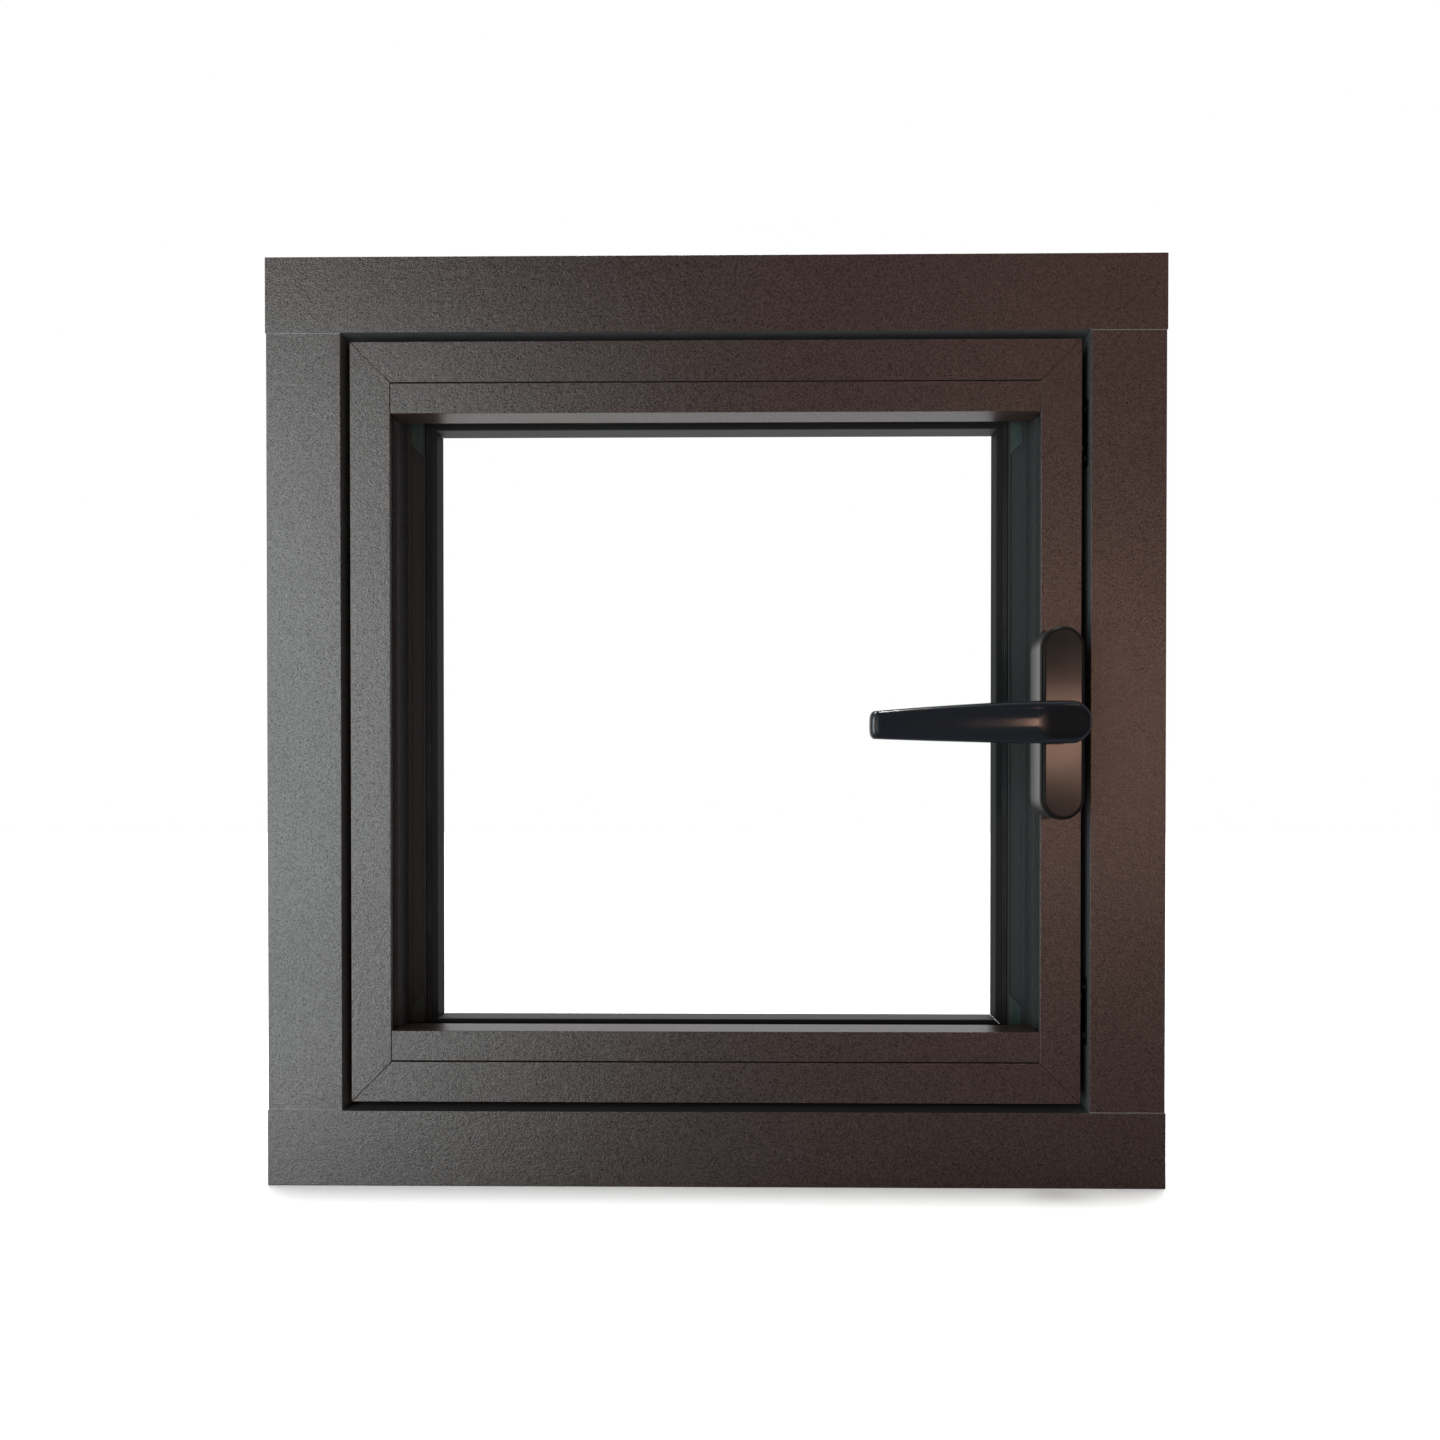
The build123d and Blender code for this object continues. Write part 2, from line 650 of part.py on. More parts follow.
def handle_fixing_screws():
    """Two pan-head screws that hold the base on the stile."""
    screws = []
    for s in (-1, 1):
        z = SPINDLE_Z + s * FIX_SCREW_Z
        top = BASE_Y - (BASE_BODY - 5)
        shank = rod_along((0, 1, 0), (SPINDLE_X, top, z), 2.5, BASE_BODY + 3)
        head = rod_along((0, -1, 0), (SPINDLE_X, top, z), 4.6, 3.0)
        slot = box(SPINDLE_X - 4, SPINDLE_X + 4, top - 4, top - 1.8, z - 0.6, z + 0.6)
        screws.append(shank + head - slot)
    return group(screws)


# ---- handle lever and gear ----
def pinion():
    """Ten-tooth drive gear with its bearing boss and detent notches."""
    at = Plane((SPINDLE_X, GEAR_Y0, SPINDLE_Z), x_dir=(1, 0, 0), z_dir=(0, 1, 0))
    root = GEAR_R - 1.35 * GEAR_MODULE
    gear = Circle(root)
    tooth = make_face(Polyline(
        (root - 1, -1.05), (root, -1.05), (GEAR_R, -0.78), (GEAR_R + 1.0, -0.4),
        (GEAR_R + 1.0, 0.4), (GEAR_R, 0.78), (root, 1.05), (root - 1, 1.05), close=True,
    ))
    for k in range(GEAR_TEETH):
        gear += Rot(0, 0, 360 / GEAR_TEETH * k) * tooth
    body = extrude(at * gear, GEAR_WIDTH)
    body += rod_along((0, -1, 0), (SPINDLE_X, GEAR_Y0, SPINDLE_Z), 4.4, 4.6)
    body += rod_along((0, 1, 0), (SPINDLE_X, GEAR_Y1, SPINDLE_Z), 4.0, 3.8)
    square = box(SPINDLE_X - 2.55, SPINDLE_X + 2.55, GEAR_Y0 - 9, BASE_Y + 1,
                 SPINDLE_Z - 2.55, SPINDLE_Z + 2.55)
    for dx, dz in ((0, DETENT_Z), (DETENT_Z, 0)):
        body -= rod_along((0, -1, 0), (SPINDLE_X + dx, GEAR_Y0 - 0.2, SPINDLE_Z + dz),
                          DETENT_R + 0.6, 6)
    return body - square


def spindle():
    """Square shaft from the lever's hub to the gear."""
    return box(SPINDLE_X - 2.5, SPINDLE_X + 2.5, BASE_FRONT_Y - NECK_LEN - 6, BASE_Y - 4.6,
               SPINDLE_Z - 2.5, SPINDLE_Z + 2.5)


def lever_blank():
    """The lever's outline, from the hub towards the hinge side."""
    stations = ((0, HUB_R, 0), (30, 12.9, 0.2), (74, 11.6, 0.9), (105, 10.1, 1.6),
                (LEVER_LEN - LEVER_CAP, LEVER_TIP, LEVER_DROP))
    up = [(SPINDLE_X - x, SPINDLE_Z + h - drop) for x, h, drop in stations]
    down = [(SPINDLE_X - x, SPINDLE_Z - h - drop) for x, h, drop in stations]
    at = Plane((0, BASE_FRONT_Y - NECK_LEN, 0), x_dir=(1, 0, 0), z_dir=(0, -1, 0))
    edge = Spline(*up) + Line(up[-1], down[-1]) + Spline(*reversed(down)) + Line(down[0], up[0])
    arm = extrude(at * make_face(edge), LEVER_THICK)
    return arm + rod_along((0, -1, 0), (SPINDLE_X, BASE_FRONT_Y - NECK_LEN, SPINDLE_Z),
                           HUB_R, LEVER_THICK)


def lever():
    """Lever arm with rounded edges and the neck that turns in the cover."""
    arm = lever_blank()
    front = arm.faces().sort_by(Axis.Y)[0]
    arm = fillet(front.edges().sort_by(Axis.X)[1:], 4.0)
    back = arm.faces().filter_by(Axis.Y).sort_by(Axis.Y)[-1]
    arm = fillet(back.edges().sort_by(Axis.X)[1:], 3.0)
    arm += rod_along((0, -1, 0), (SPINDLE_X, SPLIT_Y + 0.5, SPINDLE_Z), NECK_R,
                     BASE_COVER + NECK_LEN + 1)
    bore = box(SPINDLE_X - 2.55, SPINDLE_X + 2.55, SPLIT_Y + 3, BASE_FRONT_Y - NECK_LEN - 6.1,
               SPINDLE_Z - 2.55, SPINDLE_Z + 2.55)
    tap = rod_along((0, 0, -1), (SPINDLE_X, BASE_FRONT_Y - NECK_LEN / 2, SPINDLE_Z), 1.55, 12)
    return arm - bore - tap


def lever_cap():
    """Domed cap on the lever's free end."""
    x1 = SPINDLE_X - (LEVER_LEN - LEVER_CAP)
    y = BASE_FRONT_Y - NECK_LEN - LEVER_THICK / 2
    at = Plane((x1, y, SPINDLE_Z - LEVER_DROP), x_dir=(0, 0, 1), z_dir=(-1, 0, 0))
    cap = extrude(at * RectangleRounded(2 * LEVER_TIP - 0.2, LEVER_THICK - 0.2, 4.0), LEVER_CAP)
    return fillet(cap.faces().sort_by(Axis.X)[0].edges(), 3.2)


def grub_screw():
    """Set screw that clamps the lever on its spindle."""
    y = BASE_FRONT_Y - NECK_LEN / 2
    screw = rod_along((0, 0, -1), (SPINDLE_X, y, SPINDLE_Z - 2.6), 1.5, 5.8)
    socket = rod_along((0, 0, 1), (SPINDLE_X, y, SPINDLE_Z - 8.5), 0.75, 1.8)
    return screw - socket


def retaining_ring():
    """Ring that keeps the lever's neck in the cover."""
    y = BASE_FRONT_Y - 0.2
    ring_face = Plane((SPINDLE_X, y, SPINDLE_Z), z_dir=(0, -1, 0)) * (
        Circle(NECK_R + 1.6) - Circle(NECK_R + 0.05))
    return extrude(ring_face, 1.2)


# ---- racks, drive rods and lock pins ----
def rack_teeth(x, side, z0, z1):
    """Teeth that point at the gear, with a space opposite its middle tooth."""
    pitch = math.pi * GEAR_MODULE
    at = Plane((0, GEAR_Y0 + 0.3, 0), x_dir=(1, 0, 0), z_dir=(0, -1, 0))
    first = math.ceil((z0 - SPINDLE_Z) / pitch - 0.5)
    last = math.floor((z1 - SPINDLE_Z) / pitch - 0.5)
    teeth = []
    for k in range(first, last + 1):
        z = SPINDLE_Z + (k + 0.5) * pitch
        if z - 1.3 < z0 or z + 1.3 > z1:
            continue
        face = make_face(Polyline(
            (x + side * 1.9, z - 1.2), (x + side * 1.4, z - 1.2), (x - side * 1.0, z - 0.4),
            (x - side * 1.0, z + 0.4), (x + side * 1.4, z + 1.2), (x + side * 1.9, z + 1.2),
            close=True,
        ))
        teeth.append(extrude(at * face, -(GEAR_WIDTH - 0.6)))
    return teeth


def drive_rack(upper):
    """A rack with its drive pin; the lower one reaches across under the gear."""
    side = 1 if upper else -1
    y0, y1 = GEAR_Y0 + 0.3, GEAR_Y1 - 0.3
    x = SPINDLE_X + side * GEAR_R
    back0, back1 = sorted((x + side * 1.6, x + side * 4.6))
    if upper:
        z0, z1 = SPINDLE_Z - TRAVEL - 6, SPINDLE_Z + DRIVE_PIN_Z + 4
        body = box(back0, back1, y0, y1, z0, z1)
    else:
        z0, z1 = SPINDLE_Z - DRIVE_PIN_Z - 4, SPINDLE_Z + TRAVEL + 6
        body = box(back0, back1, y0, y1, z0, z1)
        body += box(back0, SPINDLE_X + 10.9, y0, y1, z0, z0 + 8)
    for tooth in rack_teeth(x, side, max(z0, SPINDLE_Z - 17), min(z1, SPINDLE_Z + 17)):
        body += tooth
    pin_z = SPINDLE_Z + (DRIVE_PIN_Z if upper else -DRIVE_PIN_Z)
    pin_x = SPINDLE_X + DRIVE_PIN_X
    body += rod_along((0, 1, 0), (pin_x, y1 - 1, pin_z), DRIVE_PIN_R, depth(12.0) - y1 + 1)
    return body


def rod_span(upper):
    """Z range of a drive rod."""
    far = MID_Z + (SASH_H / 2 - 40) * (1 if upper else -1)
    near = SPINDLE_Z + (20 if upper else -20)
    return min(near, far), max(near, far)


def drive_rod(upper):
    """Flat rod in the stile's groove, with the driver that takes the pin."""
    z0, z1 = rod_span(upper)
    x1 = SASH_EDGE_X - 0.4
    rod = box(x1 - ROD_T, x1, ROD_Y - ROD_W / 2, ROD_Y + ROD_W / 2, z0, z1)
    pin_z = SPINDLE_Z + (DRIVE_PIN_Z if upper else -DRIVE_PIN_Z)
    pin_x = SPINDLE_X + DRIVE_PIN_X
    driver = box(pin_x - 4.5, x1 - 1, depth(6.4), depth(12.2), pin_z - 6, pin_z + 6)
    rod += driver
    lock_z = lock_level(upper)
    rod -= rod_along((1, 0, 0), (x1 - 4, ROD_Y, lock_z), 2.0, 6)
    return rod - rod_along((0, 1, 0), (pin_x, depth(5), pin_z), DRIVE_PIN_R + 0.05, 10)


def lock_level(upper):
    """Z of a lock pin when the handle is unlocked."""
    if upper:
        return MID_Z + SASH_H / 2 - LOCK_FROM_END
    return MID_Z - SASH_H / 2 + LOCK_FROM_END


def lock_pin(upper):
    """Round locking cam riveted on the drive rod."""
    z = lock_level(upper)
    x = SASH_EDGE_X - 0.4
    cam = rod_along((1, 0, 0), (x, ROD_Y, z), LOCK_PIN_R, LOCK_PIN_TIP + 0.4)
    cam = fillet(cam.edges().group_by(Axis.X)[-1], 0.6)
    return cam + rod_along((-1, 0, 0), (x, ROD_Y, z), 1.95, ROD_T)


def keep_base_z(upper):
    """Z of the middle of a keep, where the lock pin ends its travel."""
    return lock_level(upper) + (TRAVEL if upper else -TRAVEL)


def keep(upper):
    """Striker on the jamb: a plate and a hook on the pin's outdoor side."""
    z = keep_base_z(upper)
    x1 = SASH_EDGE_X + GAP
    y0 = ROD_Y - ROD_W / 2
    plate = box(x1 - KEEP_PLATE, x1, y0, ROD_Y + LOCK_PIN_R + 1, z - 22, z + 22)
    hook_y0 = ROD_Y + LOCK_PIN_R + 0.3
    hook = box(x1 - KEEP_HOOK, x1, hook_y0, hook_y0 + 5, z - 5.0, z + 5.0)
    lead = hook.edges().filter_by(Axis.X).sort_by(Axis.Y)[:2]
    hook = chamfer(lead, 1.2)
    return plate + hook


def keep_screw_places():
    """Start points of the keep screws."""
    for upper in (True, False):
        for s in (-1, 1):
            yield (SASH_EDGE_X + GAP - KEEP_PLATE, ROD_Y, keep_base_z(upper) + s * 16.5)


def keep_screws():
    """Countersunk screws of both keeps."""
    return group([countersunk(p, (1, 0, 0), 1.6, 2.6, 9.0) for p in keep_screw_places()])


def keep_screw_holes():
    """Holes for the keep screws."""
    return [countersunk_hole(p, (1, 0, 0), 1.6, 2.6, 9.0) for p in keep_screw_places()]


def gear_nodes():
    """Handle, gear, racks, rods, pins and keeps."""
    nodes = {
        "handle_base": handle_base(),
        "handle_base_cover": handle_base_cover(),
        "handle_fixing_screws": handle_fixing_screws(),
        "handle_lever": lever(),
        "handle_lever_cap": lever_cap(),
        "handle_spindle": spindle(),
        "detent_ball": detent_ball(),
        "detent_spring": detent_spring(),
        "handle_grub_screw": grub_screw(),
        "handle_retaining_ring": retaining_ring(),
        "drive_pinion": pinion(),
        "keep_screws": keep_screws(),
    }
    for name, upper in (("upper", True), ("lower", False)):
        nodes[f"{name}_drive_rack"] = drive_rack(upper)
        nodes[f"{name}_drive_rod"] = drive_rod(upper)
        nodes[f"{name}_lock_pin"] = lock_pin(upper)
        nodes[f"{name}_keep"] = keep(upper) - keep_screw_holes()
    return nodes


os.makedirs("parts", exist_ok=True)
all_nodes = {**frame_nodes(), **sash_nodes(), **hinge_nodes(), **gear_nodes()}
for node_name, shape in all_nodes.items():
    export_step(shape, f"parts/{node_name}.step")
print(len(all_nodes), "nodes")
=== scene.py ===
import json
import math

import bmesh
import bpy
from bpy.props import (
    FloatProperty, FloatVectorProperty, IntProperty, PointerProperty,
)
from mathutils import Matrix, Vector

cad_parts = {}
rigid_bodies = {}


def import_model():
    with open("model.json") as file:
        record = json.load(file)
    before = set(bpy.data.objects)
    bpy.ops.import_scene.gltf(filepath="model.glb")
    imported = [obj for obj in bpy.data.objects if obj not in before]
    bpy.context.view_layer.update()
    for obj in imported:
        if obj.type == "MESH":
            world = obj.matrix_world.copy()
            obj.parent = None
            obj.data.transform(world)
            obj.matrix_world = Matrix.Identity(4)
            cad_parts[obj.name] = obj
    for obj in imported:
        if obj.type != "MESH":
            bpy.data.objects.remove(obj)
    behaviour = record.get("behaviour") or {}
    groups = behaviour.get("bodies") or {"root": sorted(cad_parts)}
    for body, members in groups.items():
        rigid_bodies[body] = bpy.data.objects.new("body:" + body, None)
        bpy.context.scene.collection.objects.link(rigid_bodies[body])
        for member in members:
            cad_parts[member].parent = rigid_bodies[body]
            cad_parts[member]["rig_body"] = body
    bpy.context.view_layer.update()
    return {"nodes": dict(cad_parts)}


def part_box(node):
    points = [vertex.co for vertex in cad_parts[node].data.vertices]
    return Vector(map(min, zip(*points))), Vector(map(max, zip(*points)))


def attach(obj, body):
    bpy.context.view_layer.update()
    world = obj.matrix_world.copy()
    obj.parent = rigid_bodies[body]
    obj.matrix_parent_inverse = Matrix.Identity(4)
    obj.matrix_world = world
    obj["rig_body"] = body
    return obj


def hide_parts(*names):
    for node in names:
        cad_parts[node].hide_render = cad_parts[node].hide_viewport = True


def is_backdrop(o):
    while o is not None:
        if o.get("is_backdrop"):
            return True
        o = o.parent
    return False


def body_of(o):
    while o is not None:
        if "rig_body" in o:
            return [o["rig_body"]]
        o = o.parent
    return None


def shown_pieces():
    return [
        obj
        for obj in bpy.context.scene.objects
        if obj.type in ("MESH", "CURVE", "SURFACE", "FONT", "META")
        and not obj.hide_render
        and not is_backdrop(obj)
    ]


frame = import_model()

bl_info = {
    "name": "Casement Window Finishes",
    "version": (1, 0, 0),
    "blender": (4, 5, 0),
    "location": "View3D > Sidebar > Window",
    "description": "Finishes, handle, screws and studio for a casement window",
    "category": "Object",
}

NODES = frame["nodes"]
MM = 0.001


def centre(node):
    """Middle of a CAD node's box."""
    low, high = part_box(node)
    return (low + high) / 2


# ---- places taken from the frame ----
SPINDLE = centre("handle_spindle")
LEVER_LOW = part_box("handle_lever")[0]
CAP_LOW, CAP_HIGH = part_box("handle_lever_cap")
COVER_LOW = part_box("handle_base_cover")[0]
HEAD_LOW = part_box("frame_head_inner")[0]
JAMB_LOW, JAMB_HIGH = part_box("frame_left_jamb_inner")
SASH_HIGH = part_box("sash_top_rail_inner")[1]
SASH_MID = centre("sash_hinge_stile_inner").z
INDOOR_Y = HEAD_LOW.y

# ---- sizes that the frame does not hold ----
WELD = 1e-6
HAIR = 0.1 * MM
CUT_EDGE = 0.45 * MM
REBATE_INSET = 23.9 * MM
HUB_END = 12.5 * MM
INLAY_R = 10.4 * MM
INLAY_LENGTH = 23.5 * MM
INLAY_SHIFT = 0.2 * MM
INLAY_FADE = (22 * MM, 14 * MM)
GROOVE_HALF = 0.5 * MM
GROOVE_DEEP = 0.3 * MM
GROOVE_FADE = 10 * MM
FINE_LENGTH = 26 * MM
CAP_RIM = 0.9 * MM
NECK_R = 9.0 * MM
NECK_OVERLAP = 4 * MM

# ---- half sizes of the openings, seen from the middle of the sash ----
REBATE_X = SASH_HIGH.x - REBATE_INSET
REBATE_UP = SASH_HIGH.z - REBATE_INSET - SASH_MID
GAP_X = HAIR - JAMB_HIGH.x
GAP_UP = HEAD_LOW.z + HAIR - SASH_MID
LIP_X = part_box("glazing_gasket")[1].x - 2 * MM


# ---- settings ----
class StageSettings(bpy.types.PropertyGroup):
    """Camera, floor and lights."""

    eye: FloatVectorProperty(
        name="Eye", description="Where the camera stands", default=(0.0182, -0.725, 0.2783),
        subtype="TRANSLATION", unit="LENGTH")
    turn: FloatProperty(
        name="Turn", description="How far the camera turns to the left", default=0.0110,
        subtype="ANGLE")
    dip: FloatProperty(
        name="Dip", description="How far the camera looks down", default=0.0080,
        subtype="ANGLE")
    lens: FloatProperty(name="Lens", description="Focal length", default=26.27, unit="CAMERA")
    shift: FloatVectorProperty(
        name="Shift", description="Lens shift across and up", size=2,
        default=(-0.00715, 0.04125))
    softbox: FloatProperty(
        name="Softbox", description="Power of the large light on the left", default=53.0,
        unit="POWER")
    warm: FloatProperty(
        name="Warm lamp", description="Power of the warm lamp on the right", default=7.2,
        unit="POWER")
    top: FloatProperty(
        name="Top light", description="Power of the overhead light", default=12.0,
        unit="POWER")
    sun: FloatProperty(
        name="Overhead sun", description="Strength of the light straight from above",
        default=3.6, min=0.0)
    floor_colour: FloatVectorProperty(
        name="Floor colour", description="Colour of the studio floor", size=3,
        default=(0.93, 0.93, 0.93), subtype="COLOR", min=0.0, max=1.0)


class CoatSettings(bpy.types.PropertyGroup):
    """Powder coat of the profiles, and the other finishes' colours."""

    profile: FloatVectorProperty(
        name="Profile coat", description="Colour of frame and sash", size=3,
        default=(0.019, 0.0105, 0.0092), subtype="COLOR", min=0.0, max=1.0)
    roughness: FloatProperty(
        name="Roughness", description="Roughness of the profile coat", default=0.31,
        min=0.0, max=1.0, subtype="FACTOR")
    grain: FloatProperty(
        name="Grain size", description="Width of one grain of powder texture",
        default=0.0011, unit="LENGTH", precision=5)
    handle: FloatVectorProperty(
        name="Handle coat", description="Colour of the lever", size=3,
        default=(0.006, 0.007, 0.009), subtype="COLOR", min=0.0, max=1.0)
    base: FloatVectorProperty(
        name="Base coat", description="Colour of the handle's base", size=3,
        default=(0.014, 0.012, 0.011), subtype="COLOR", min=0.0, max=1.0)
    plate: FloatVectorProperty(
        name="Corner plates", description="Colour of the corner plates", size=3,
        default=(0.036, 0.052, 0.048), subtype="COLOR", min=0.0, max=1.0)


class LeverSettings(bpy.types.PropertyGroup):
    """Shape of the handle's lever."""

    hub: FloatProperty(
        name="Hub width", description="Half width at the turning end", default=0.0134,
        unit="LENGTH", precision=4)
    drop: FloatProperty(
        name="Drop", description="How much lower the free end's middle is", default=0.0019,
        unit="LENGTH", precision=4)
    tip: FloatProperty(
        name="Tip", description="Half width where the cap begins", default=0.0089,
        unit="LENGTH", precision=4)
    thickness: FloatProperty(
        name="Thickness", description="Thickness at the turning end", default=0.0130,
        unit="LENGTH", precision=4)
    tip_thickness: FloatProperty(
        name="Tip thickness", description="Thickness where the cap begins", default=0.0104,
        unit="LENGTH", precision=4)
    squareness: FloatProperty(
        name="Squareness", description="2 is an oval section, more is squarer", default=2.7,
        min=2.0, max=6.0)
    rings: IntProperty(
        name="Rings", description="Sections along the arm", default=72, min=16, max=200)
    sides: IntProperty(
        name="Sides", description="Points round a section", default=112, min=16, max=160)


class ScrewSettings(bpy.types.PropertyGroup):
    """Countersunk screws."""

    pitch: FloatProperty(
        name="Pitch", description="Distance between thread turns", default=0.0014,
        unit="LENGTH", precision=5)
    seed: IntProperty(
        name="Seed", description="Seed of the random turn of each recess", default=7)


# ---- shader helpers ----
def new_material(name):
    """An empty node material with its shader and output."""
    m = bpy.data.materials.new(name)
    m.use_nodes = True
    tree = m.node_tree
    tree.nodes.clear()
    out = tree.nodes.new("ShaderNodeOutputMaterial")
    bsdf = tree.nodes.new("ShaderNodeBsdfPrincipled")
    tree.links.new(bsdf.outputs["BSDF"], out.inputs["Surface"])
    return m, tree, bsdf


def node(tree, kind, **inputs):
    """A node with some of its inputs set by name."""
    n = tree.nodes.new(kind)
    for key, value in inputs.items():
        n.inputs[key.replace("_", " ")].default_value = value
    return n


def group_tree(name, ins, outs):
    """A shader group with named float or colour sockets."""
    g = bpy.data.node_groups.new(name, "ShaderNodeTree")
    for label, kind, default in ins:
        s = g.interface.new_socket(label, in_out="INPUT", socket_type=kind)
        s.default_value = default
    for label, kind in outs:
        g.interface.new_socket(label, in_out="OUTPUT", socket_type=kind)
    return g, g.nodes.new("NodeGroupInput"), g.nodes.new("NodeGroupOutput")


def use_group(tree, group, **inputs):
    """Place a shader group in a material with its own values."""
    n = tree.nodes.new("ShaderNodeGroup")
    n.node_tree = group
    for key, value in inputs.items():
        n.inputs[key.replace("_", " ")].default_value = value
    return n


def math_node(tree, operation, a=None, b=None, clamp=False):
    """A math node; a and b are numbers or sockets."""
    n = tree.nodes.new("ShaderNodeMath")
    n.operation = operation
    n.use_clamp = clamp
    for slot, value in zip(n.inputs, (a, b)):
        if value is None:
            continue
        if isinstance(value, (int, float)):
            slot.default_value = value
        else:
            tree.links.new(value, slot)
    return n.outputs[0]


def noise(tree, vector, scale, detail=2.0, roughness=0.5):
    """A noise value over a vector socket."""
    n = node(tree, "ShaderNodeTexNoise", Scale=scale, Detail=detail, Roughness=roughness)
    tree.links.new(vector, n.inputs["Vector"])
    return n.outputs["Fac"]


def spread(tree, value, low, high, out_low=0.0, out_high=1.0):
    """Map a value's range to another one, clamped."""
    n = node(tree, "ShaderNodeMapRange", From_Min=low, From_Max=high, To_Min=out_low,
             To_Max=out_high)
    tree.links.new(value, n.inputs["Value"])
    return n.outputs["Result"]


def axes_of(tree, coordinates="Object"):
    """The three coordinates of the shaded point as outputs X, Y and Z."""
    coord = tree.nodes.new("ShaderNodeTexCoord")
    axes = tree.nodes.new("ShaderNodeSeparateXYZ")
    tree.links.new(coord.outputs[coordinates], axes.inputs[0])
    return axes.outputs


# ---- shared effects ----
def grain_group():
    """Powder texture: a fine speckle and a softer orange peel."""
    g, gin, gout = group_tree(
        "powder_grain",
        [("Size", "NodeSocketFloat", 0.0009), ("Stretch", "NodeSocketVector", (1, 1, 1))],
        [("Speckle", "NodeSocketFloat"), ("Peel", "NodeSocketFloat"),
         ("Lines", "NodeSocketFloat")])
    coord = g.nodes.new("ShaderNodeTexCoord")
    fine = math_node(g, "DIVIDE", 1.0, gin.outputs["Size"])
    speck = g.nodes.new("ShaderNodeTexNoise")
    g.links.new(coord.outputs["Object"], speck.inputs["Vector"])
    g.links.new(fine, speck.inputs["Scale"])
    speck.inputs["Detail"].default_value = 3.0
    speck.inputs["Roughness"].default_value = 0.65
    g.links.new(spread(g, speck.outputs["Fac"], 0.3, 0.7), gout.inputs["Speckle"])
    peel = noise(g, coord.outputs["Object"], 260.0, 2.0, 0.5)
    g.links.new(peel, gout.inputs["Peel"])
    drawn = g.nodes.new("ShaderNodeVectorMath")
    drawn.operation = "MULTIPLY"
    g.links.new(coord.outputs["Object"], drawn.inputs[0])
    g.links.new(gin.outputs["Stretch"], drawn.inputs[1])
    lines = noise(g, drawn.outputs[0], 1.0, 3.0, 0.6)
    g.links.new(spread(g, lines, 0.35, 0.65), gout.inputs["Lines"])
    return g


def dust_group():
    """Sparse specks and soft smudges from handling."""
    g, gin, gout = group_tree(
        "dust_and_smudge", [("Amount", "NodeSocketFloat", 0.5)],
        [("Specks", "NodeSocketFloat"), ("Smudge", "NodeSocketFloat")])
    coord = g.nodes.new("ShaderNodeTexCoord")
    cells = node(g, "ShaderNodeTexVoronoi", Scale=34.0, Randomness=1.0)
    g.links.new(coord.outputs["Object"], cells.inputs["Vector"])
    near = spread(g, cells.outputs["Distance"], 0.016, 0.026, 1.0, 0.0)
    chosen = spread(g, cells.outputs["Color"], 0.62, 0.66)
    specks = math_node(g, "MULTIPLY", near, chosen)
    g.links.new(math_node(g, "MULTIPLY", specks, gin.outputs["Amount"]),
                gout.inputs["Specks"])
    cloud = noise(g, coord.outputs["Object"], 14.0, 4.0, 0.55)
    soft = spread(g, cloud, 0.45, 0.72)
    g.links.new(math_node(g, "MULTIPLY", soft, gin.outputs["Amount"]), gout.inputs["Smudge"])
    return g


GRAIN = grain_group()
DUST = dust_group()


def mix_colour(tree, factor, a, b):
    """Mix two colours by a socket's value; each colour is a socket or three numbers."""
    n = tree.nodes.new("ShaderNodeMix")
    n.data_type = "RGBA"
    tree.links.new(factor, n.inputs[0])
    for slot, value in ((n.inputs[6], a), (n.inputs[7], b)):
        if isinstance(value, bpy.types.NodeSocket):
            tree.links.new(value, slot)
        else:
            slot.default_value = (*value, 1.0)
    return n.outputs[2]


def add_bump(tree, bsdf, height, strength, distance):
    """Feed a height into the shader's normal."""
    bump = node(tree, "ShaderNodeBump", Strength=strength, Distance=distance)
    tree.links.new(height, bump.inputs["Height"])
    tree.links.new(bump.outputs["Normal"], bsdf.inputs["Normal"])


def shade(colour, k):
    """A colour made lighter or darker."""
    return tuple(min(1.0, c * k) for c in colour)


# ---- materials ----
ALONG_X = (1.5, 900.0, 900.0)
ALONG_Z = (900.0, 900.0, 1.5)
END_BAND_GREY = (0.09, 0.09, 0.088)
PEEL_DEPTH = 0.16 * MM
FINE_DEPTH = 0.06 * MM
DRAWN_DEPTH = 0.05 * MM


def cut_end(tree, low, high):
    """A mask of the last bit at each end of an upright piece, which is coloured a lighter grey.
    """
    off = math_node(tree, "SUBTRACT", axes_of(tree)["Z"], (low + high) / 2)
    edge = (high - low) / 2 - CUT_EDGE
    return math_node(tree, "GREATER_THAN", math_node(tree, "ABSOLUTE", off), edge)


def mitre_line(tree):
    """A mask of the hairline where two members of the sash meet at 45 degrees."""
    axes = axes_of(tree)
    across = math_node(tree, "ABSOLUTE", axes["X"])
    up = math_node(tree, "ABSOLUTE", math_node(tree, "SUBTRACT", axes["Z"], SASH_MID))
    off = math_node(tree, "SUBTRACT", math_node(tree, "SUBTRACT", up, across),
                    SASH_HIGH.z - SASH_MID - SASH_HIGH.x - HAIR)
    return math_node(tree, "LESS_THAN", math_node(tree, "ABSOLUTE", off), CUT_EDGE)


